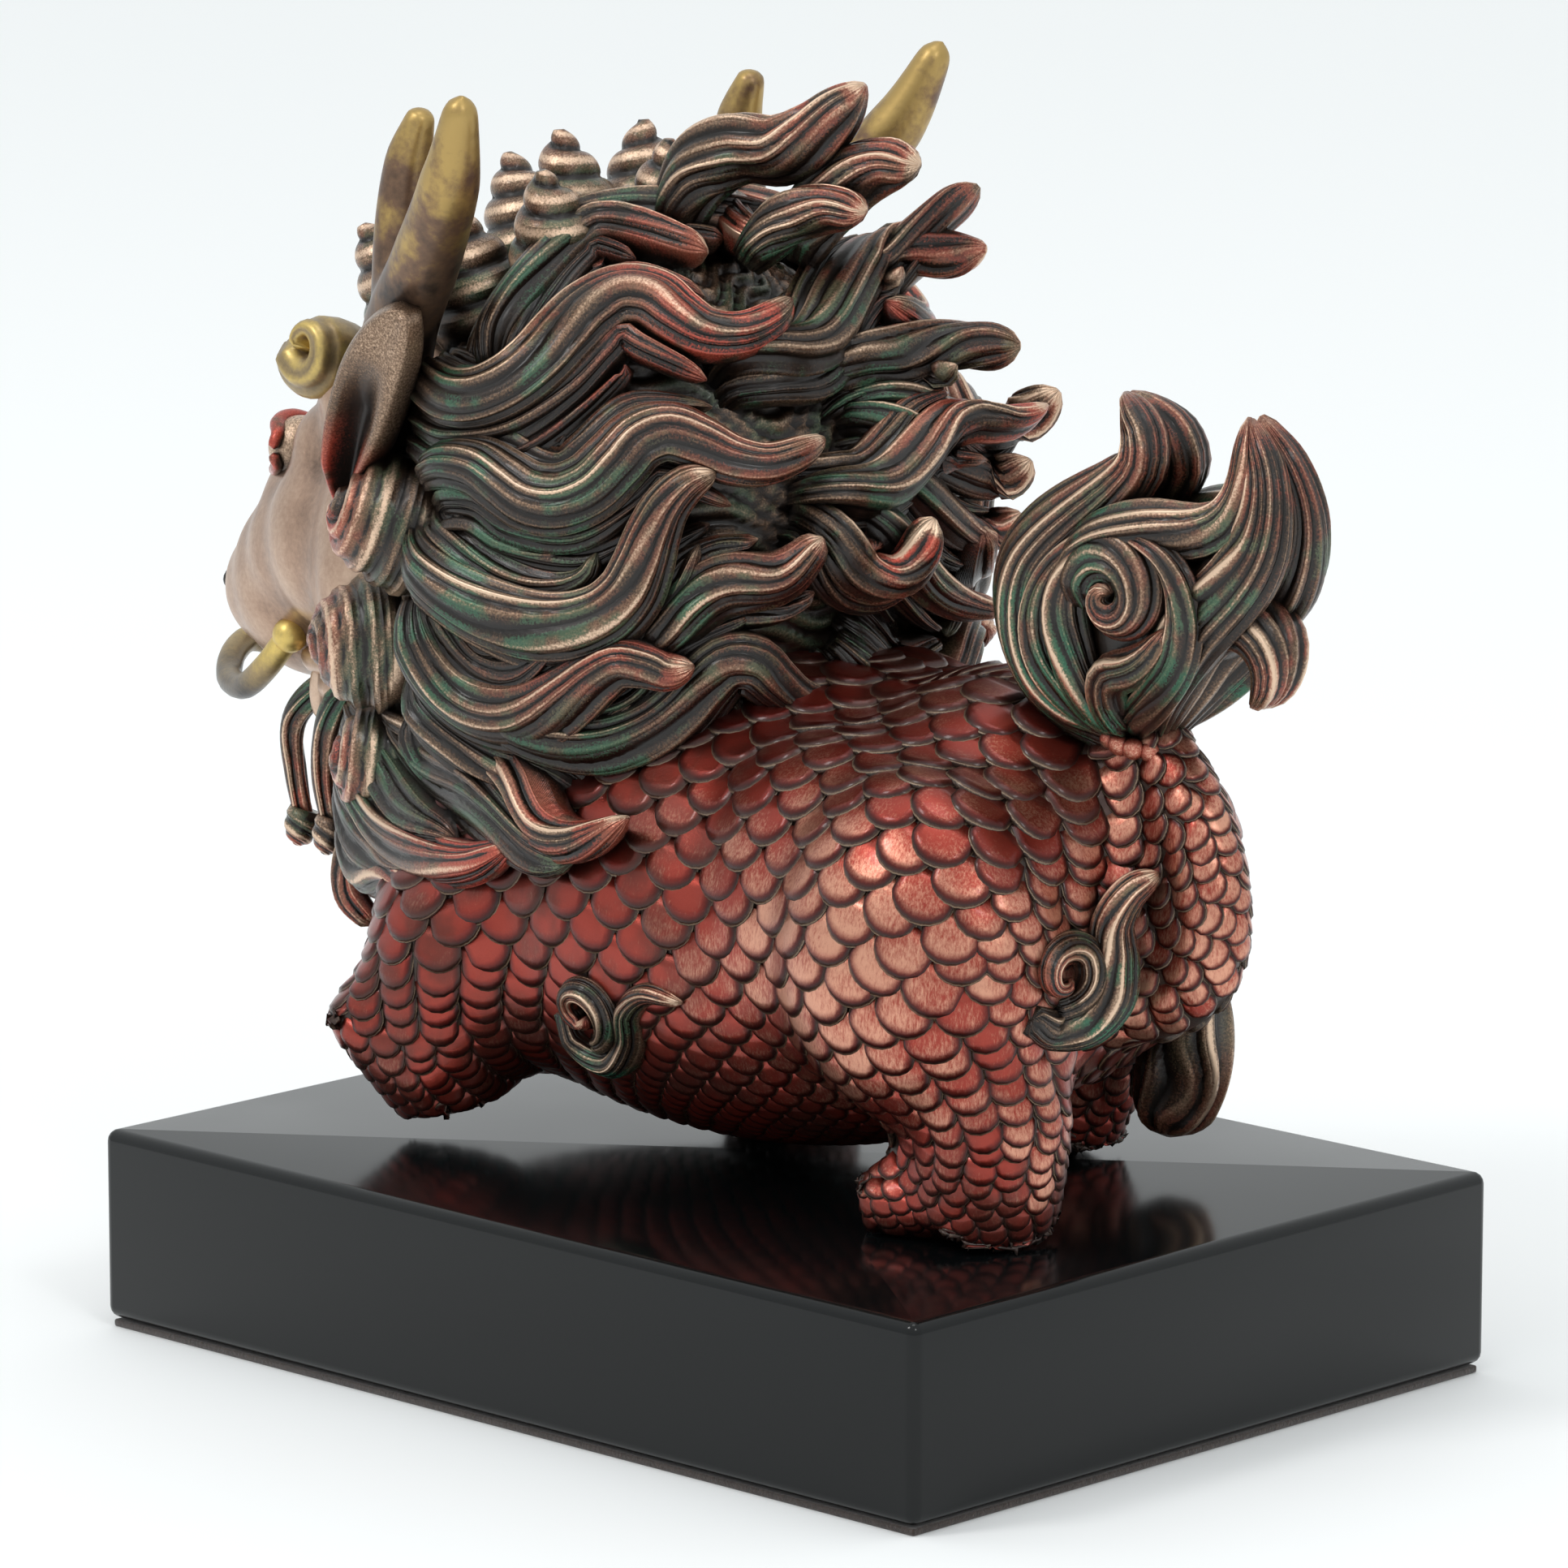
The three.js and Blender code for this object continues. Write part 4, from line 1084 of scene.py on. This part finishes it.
def brow_swirls():
    swirl = curl((19.5, -69, 103.2), (1, -0.1, 0.15), 8.4, 6, 8, turns=1.2, hand=-1, keel=5, ridges=3,
                 groove=0.3)
    swirl["crest"] = 0.45 + 0.55 * swirl["crest"]
    return both_sides(swirl)


def lips(tree):
    """Both lips, a closed row of teeth and the nostrils, all following the muzzle round."""
    def round_jaw(a, height, out):
        """A place at this height, a radians round from the front and out this far from the skin."""
        way = np.array([math.sin(a), -math.cos(a), 0])
        middle = np.array([0, -62, height])
        reach = np.linalg.norm(struck(tree, middle + 60 * way, -way) - middle)
        return middle + way * (min(reach, 21) + out)

    parts = []
    for height, girth, crest in ((58.5, 2.3, 0.8), (49.8, 2.0, 0.75)):
        line = [round_jaw(a, height, -0.4) for a in np.linspace(-1.4, 1.4, 19)]
        parts.append(round_limb(softened(line, 4), [1.2, girth, girth, girth, 1.2], look=(0, 0, 1), sides=14,
                                steps=60, crest=crest))
    for a in np.linspace(-0.8, 0.8, 11):
        parts.append(mass(round_jaw(a, 54.3, 0.1), (1.6, 1.6, 4.2), sides=12, rows=8, crest=0.9))
    for x in (-6.4, 6.4):
        nostril = struck(tree, (x, -140, 66), (0, 1, 0))
        parts.append(mass(nostril + (0, 0.4, 0), (2.6, 1.5, 1.9), sides=16, rows=9, crest=-0.4))
    return joined(parts)


# Feet of the snail curls on the crown, which stand away from a place inside the head
SNAILS = [(0, -57.5, 101), (15, -53, 107.2), (17, -40, 111), (0, -46.7, 114.3), (6.2, -32.8, 118.7),
          (14.6, -26.8, 115.2), (0, -22.9, 117.6)]
INSIDE_HEAD = (0, -26, 62)


def crown():
    """Snail curls in rows over the crown, wound the other way on the far side."""
    snails = []
    for foot in SNAILS:
        snail = bun(foot, np.subtract(foot, INSIDE_HEAD), radius=8.0, height=16.5, turns=4.3, cone=0.62,
                    groove=1.2, red=0.1, green=0.4)
        snails += [snail, mirrored(snail)] if foot[0] else [snail]
    return joined(snails)


# Flames behind the crown: width, thickness, then the line of the flame
TOP_TUFTS = [
    (11.5, 9, [5, -17, 121], [3, -13, 130.5], [1, -8, 133.5], [-1, -2.5, 133.5], [-3, 2, 136],
     [-6, 8, 142.5]),
    (10.5, 9, [-2, -1, 119], [-4, 2, 126], [-6, 5.5, 129.8], [-8, 10.5, 132], [-9, 15, 132.3]),
    (8, 8, [4, -4, 119], [1, 1, 125], [-1, 6, 126.5], [-2, 12, 126.5]),
]


def top_tufts():
    locks = []
    for width, thick, *path in TOP_TUFTS:
        locks.append(hair(path, (1, 0, -0.6), width, thick, 0, 5, 0.2, red=0.4, tip=0.25, root=0.6,
                          blunt=0.84, both=True))
    return joined(locks)


# Tail tuft: broad flames and the bands between them, each with its width, thickness and ridges, then its
# line as it lies on the left side
TUFT_LOCKS = [
    (12, 9, 7, [3, 62, 65], [6, 52.5, 71.5], [7.5, 50, 79.4], [8, 51, 86.3], [7, 55.5, 91.6],
     [5.5, 61.5, 96], [4, 66, 100], [2.5, 64.8, 104], [0.5, 60.5, 107.5], [0, 57.5, 109.5]),
    (9, 7, 5, [8.5, 57, 86], [9, 64, 91], [8.5, 72, 93], [7, 77.5, 93], [5.5, 81.3, 94.5], [4, 82.8, 98],
     [3, 82.6, 101.8], [1.5, 81.3, 105.6], [0.8, 80.5, 109]),
    (12, 8, 7, [2, 64, 66], [4.5, 69, 73.3], [6, 75.6, 80.5], [6, 81.5, 85.5], [4.5, 84.6, 90.6],
     [3.5, 85.3, 96], [2, 84, 101.4], [1, 81.6, 105.8], [0.5, 80, 109]),
    (9, 8, 5, [1, 65, 66], [2, 70, 73], [2.5, 75, 79.3], [2.5, 80, 81.4], [2, 84, 79.5], [1, 85, 75.5],
     [0.5, 83, 71.5], [0, 80, 69.5]),
    (7, 6, 4, [4, 64, 66], [7, 71, 71.7], [8.5, 76, 77.5], [9, 77.5, 83.1], [9.5, 76, 88.5],
     [9.5, 71.5, 91.3], [9.5, 66, 91.5]),
    (8, 6, 5, [4, 62.3, 65.5], [8, 59.8, 70.8], [9.5, 58.4, 76.3], [10, 58, 82], [10, 60.5, 87.4],
     [9.5, 65, 91], [9, 71, 92]),
    (7, 6, 4, [4, 63.3, 65.6], [8, 64, 70.2], [9.5, 65.5, 73.5], [10, 69.5, 75.3], [10, 73.3, 78],
     [9, 76, 82]),
    (10, 7, 6, [2, 62.7, 65], [4, 53, 68.5], [5, 49.5, 76], [5, 49.5, 84], [3.5, 53, 90.6], [2, 59, 95],
     [1, 63, 99]),
    (7, 6, 4, [3, 62.5, 65], [7, 57.5, 69], [9, 54, 74], [9.5, 53.5, 80], [9, 56, 86], [8, 60.5, 90.5],
     [7, 66, 94]),
]


def tail_tuft():
    """Flames of swept hair that close round a middle pair of spirals."""
    locks = [mass((0, 64, 80), (8.5, 11, 14), crest=0.3), mass((0, 73, 84), (8, 9, 9), crest=0.3)]
    for i, (width, thick, ridges, *path) in enumerate(TUFT_LOCKS):
        near = hair(softened(path, 4), (1, 0.2, 0), width, thick, 2, ridges, 0.3 * i, red=0.35, green=0.8,
                    fine=1.25, blunt=0.86, both=True, worn=1.08)
        locks += [near, mirrored(near)]
    spiral = curl((10, 67, 84), (1, 0.1, 0), 10.4, 8.2, 6.0, turns=1.35, start=-0.3, keel=4, ridges=5,
                  red=0.4)
    return joined(locks + [spiral, mirrored(spiral)])


def collar():
    """Band of small beads where the tuft leaves the tail."""
    beads = []
    for a in np.linspace(0, 2 * math.pi, 14, endpoint=False):
        centre = (5.2 * math.cos(a), 63.2 + 4.4 * math.sin(a), 64 - 0.9 * math.sin(a))
        beads.append(bead(centre, 1.5, crest=0.8, red=0.5))
    return joined(beads)


def scroll(tree, centre, facing, radius, flame, breadth, hand=1):
    """A scroll in relief: a spiral, and the flame that springs from under it, given across and up from the
    spiral's middle. It follows the skin, but where the skin turns away it stands free on a deep keel."""
    facing = unit_rows(np.asarray(facing, float))
    across = hand * unit_rows(np.cross((0, 0, 1.0), facing))
    up = np.cross(facing, across) * hand
    centre = np.asarray(centre, float)

    def depth(at):
        hit = tree.ray_cast(Vector(at + 30 * facing), Vector(-facing))[0]
        return -99.0 if hit is None else float((np.array(hit) - centre) @ facing)

    middle = depth(centre)

    def placed(drawn, lift):
        path = []
        for (x, y), rise in zip(drawn, lift):
            at = centre + across * x + up * y
            path.append(at + facing * (max(depth(at), middle - 2.5) + rise))
        return np.array(path)

    s = np.linspace(0, 1, 22)
    angle = -0.55 * np.pi + 2 * np.pi * 1.35 * s
    reach = radius * (1 - 0.85 * s ** 0.9)
    spiral = placed(np.stack([reach * np.cos(angle), reach * np.sin(angle)], 1), 1.5 + 1.3 * s)
    risen = placed(flame, np.full(len(flame), 1.2))
    return [
        hair(softened(spiral, 2), facing, 0.95 * radius, 4.8, 5, 4, 0.2, red=0.7, root=0.8, fine=0.5,
             groove=0.36, worn=1.25),
        hair(risen, facing, breadth, 5.0, 5, 5, 0.6, red=0.3, green=0.8, root=0.55, fine=0.6, blunt=0.9,
             tip=0.3, groove=0.4, worn=1.25),
    ]


SHOULDER_FLAME = [(-5.5, -1), (-3.5, -5.5), (2, -7.2), (6, -3.5), (8, 1.5), (12, 4.3), (17.5, 3.8)]
HAUNCH_FLAME = [(-4.5, -5.5), (-1, -7.4), (3.3, -6.9), (6.4, -3.6), (6.9, 1), (6.6, 5.5), (8.8, 9.5),
                (12.6, 12)]


def limb_curls(points, tris):
    """Scrolls at the shoulders and the haunches, and the drop of hair behind the far hock."""
    tree = BVHTree.FromPolygons(points.tolist(), tris.tolist())
    parts = scroll(tree, (33, -5.5, 23), (1, 0.05, 0), 4.8, SHOULDER_FLAME, 4.6)
    parts += scroll(tree, (-33, -2.5, 23), (-1, 0.05, 0), 4.8, SHOULDER_FLAME, 4.6, -1)
    parts += scroll(tree, (15, 61.9, 36.4), (0.62, 0.78, 0.05), 5.0, HAUNCH_FLAME, 7.5)
    parts += scroll(tree, (-15, 57, 36.4), (-0.62, 0.78, 0.05), 5.0, HAUNCH_FLAME, 7.5, -1)
    drop = [[-26, 49.5, 27], [-26, 49, 22], [-26, 47.5, 15.5], [-26, 45.5, 9], [-26, 44.5, 3.6]]
    parts.append(hair(softened(drop, 5), (1, 0.6, 0), 14, 12, 0, 4, 0.4, red=0.2, tip=0, green=0.1, root=0.5,
                      blunt=0.84, both=True))
    return joined(parts)


def slab(low, high, edge):
    """A block with rounded edges, in metres as the CAD has it, from rings that follow its outline."""
    half = (high - low) / 2
    angles = np.linspace(0, math.pi / 2, 5)
    profile = [(edge * (1 - math.sin(a)), low.z + edge * (1 - math.cos(a))) for a in angles]
    profile += [(edge * (1 - math.cos(a)), high.z - edge * (1 - math.sin(a))) for a in angles]
    rings = []
    for inset, z in profile:
        ring = []
        for k, (side, end) in enumerate(((1, 1), (-1, 1), (-1, -1), (1, -1))):
            for a in angles + k * math.pi / 2:
                x = side * (half.x - edge) + (edge - inset) * math.cos(a)
                y = end * (half.y - edge) + (edge - inset) * math.sin(a)
                ring.append((x, y, z))
        rings.append(ring)
    return skin(rings)


def build_figure():
    bronze = carved_bronze()
    scale = scale_bronze()
    horn_metal = rubbed_bronze("rubbed_horn_bronze", "#3c2d24", "#765c49", "#b3965c", patchy=1.9)
    muzzle = rubbed_bronze("smooth_muzzle_bronze", "#5c473b", "#ad8f7b", "#d6bba5")
    gold = rubbed_bronze("gilt_bronze", "#5d5142", "#a08a63", "#dcc070")
    points, tris = body_skin()
    shown("body", shape(points, [], tris, crest=-0.2), scale, "figure")
    for name, made in scales_over(points, tris).items():
        shown(name, made, scale, "figure")
    head = head_skin()
    tree = BVHTree.FromPolygons(head["points"].tolist(), head["tris"].tolist())
    low_locks = breast_locks()
    for name, made, finish in (
        ("scalp", hair_ground(), bronze),
        ("mane_left", joined([mane_side(FLANK_LOCKS), low_locks]), bronze),
        ("mane_right", joined([mane_side(FLANK_LOCKS, other_side=True), mirrored(low_locks)]), bronze),
        ("mane_back", mane_side(NAPE_LOCKS), bronze),
        ("head", head, muzzle),
        ("lips_and_teeth", lips(tree), muzzle),
        ("face_curls", both_sides(face_side(tree)), bronze),
        ("ears", both_sides(leaf(EAR, (1, 0.35, 0), 12, 7)), bronze),
        ("whiskers", whiskers(), bronze),
        ("horns", horns(), horn_metal),
        ("nose_ring", nose_ring(), gold),
        ("brow_swirls", brow_swirls(), gold),
        ("crown_snails", crown(), bronze),
        ("top_tufts", top_tufts(), bronze),
        ("tail_tuft", joined([tail_tuft(), collar()]), bronze),
        ("limb_curls", limb_curls(points, tris), bronze),
    ):
        shown(name, made, finish, "figure")


def build_block():
    """The lacquered block and its felt, brought from metres to carving units to be shown as the rest is."""
    for name, made, finish, slot, stands_for in (
        ("lacquered_block", slab(plinth_low, plinth_high, BLOCK_EDGE), lacquer(), "black_lacquer", "plinth"),
        ("felt_underside", slab(felt_low, felt_high, FELT_EDGE), wool_felt(), "felt", "felt_pad"),
    ):
        made["points"] = (made["points"] - np.array([0, 0, SOLES])) / UNIT
        shown(name, made, finish, stands_for)


# The photograph's view

CAMERA_AZIMUTH = 133.99
CAMERA_ELEVATION = 11.111
CAMERA_DISTANCE = 1.152539
CAMERA_LENS = 199.65
CAMERA_TARGET = Vector((-0.000672, -0.001514, 0.07688))
LAMP_TARGET = Vector((0, 0, 0.08))


def set_camera():
    turn, rise = math.radians(CAMERA_AZIMUTH), math.radians(CAMERA_ELEVATION)
    back = Vector((math.sin(turn) * math.cos(rise), -math.cos(turn) * math.cos(rise), math.sin(rise)))
    data = bpy.data.cameras.new("camera")
    data.lens = CAMERA_LENS
    data.sensor_width = 36
    data.clip_end = 20
    camera = bpy.data.objects.new("camera", data)
    camera.location = CAMERA_TARGET + back * CAMERA_DISTANCE
    camera.rotation_euler = (-back).to_track_quat("-Z", "Y").to_euler()
    bpy.context.scene.collection.objects.link(camera)
    bpy.context.scene.camera = camera


def softbox(name, place, size, power):
    """A soft lamp, turned to the ornament."""
    data = bpy.data.lights.new(name, "AREA")
    data.shape = "RECTANGLE"
    data.size, data.size_y = size
    data.energy = power
    light = bpy.data.objects.new(name, data)
    light.location = place
    light.rotation_euler = (LAMP_TARGET - Vector(place)).to_track_quat("-Z", "Y").to_euler()
    bpy.context.scene.collection.objects.link(light)


def set_studio():
    """A pale paper floor under a soft bright sky, with three soft lamps."""
    scene = bpy.context.scene
    scene.view_settings.view_transform = "Standard"
    world = bpy.data.worlds.new("studio")
    world.use_nodes = True
    sky = world.node_tree
    sky.nodes["Background"].inputs["Color"].default_value = colour("#f7fbfc")
    height = add(sky, "SeparateXYZ", links={0: add(sky, "TexCoord").outputs["Generated"]}).outputs["Z"]
    glow = add(sky, "MapRange", smooth(0.0, 0.75, 0.8, 0.97), {"Value": height})
    feed(sky, sky.nodes["Background"], {"Strength": glow})
    scene.world = world
    floor = plain_object("floor", shape([[-4, -4, 0], [4, -4, 0], [4, 4, 0], [-4, 4, 0]], [[0, 1, 2, 3]]))
    paper, _, _ = blank("pale_paper", Base_Color="#fafbfb", Roughness=0.8)
    floor.data.materials.append(paper)
    softbox("key", (1.0, -0.35, 1.2), (0.3, 0.35), 4.5)
    softbox("rear", (0.5, 1.2, 1.1), (0.25, 0.3), 2.5)
    softbox("top", (0.1, 0.1, 1.5), (0.5, 0.5), 2.0)


set_camera()
set_studio()
build_figure()
build_block()
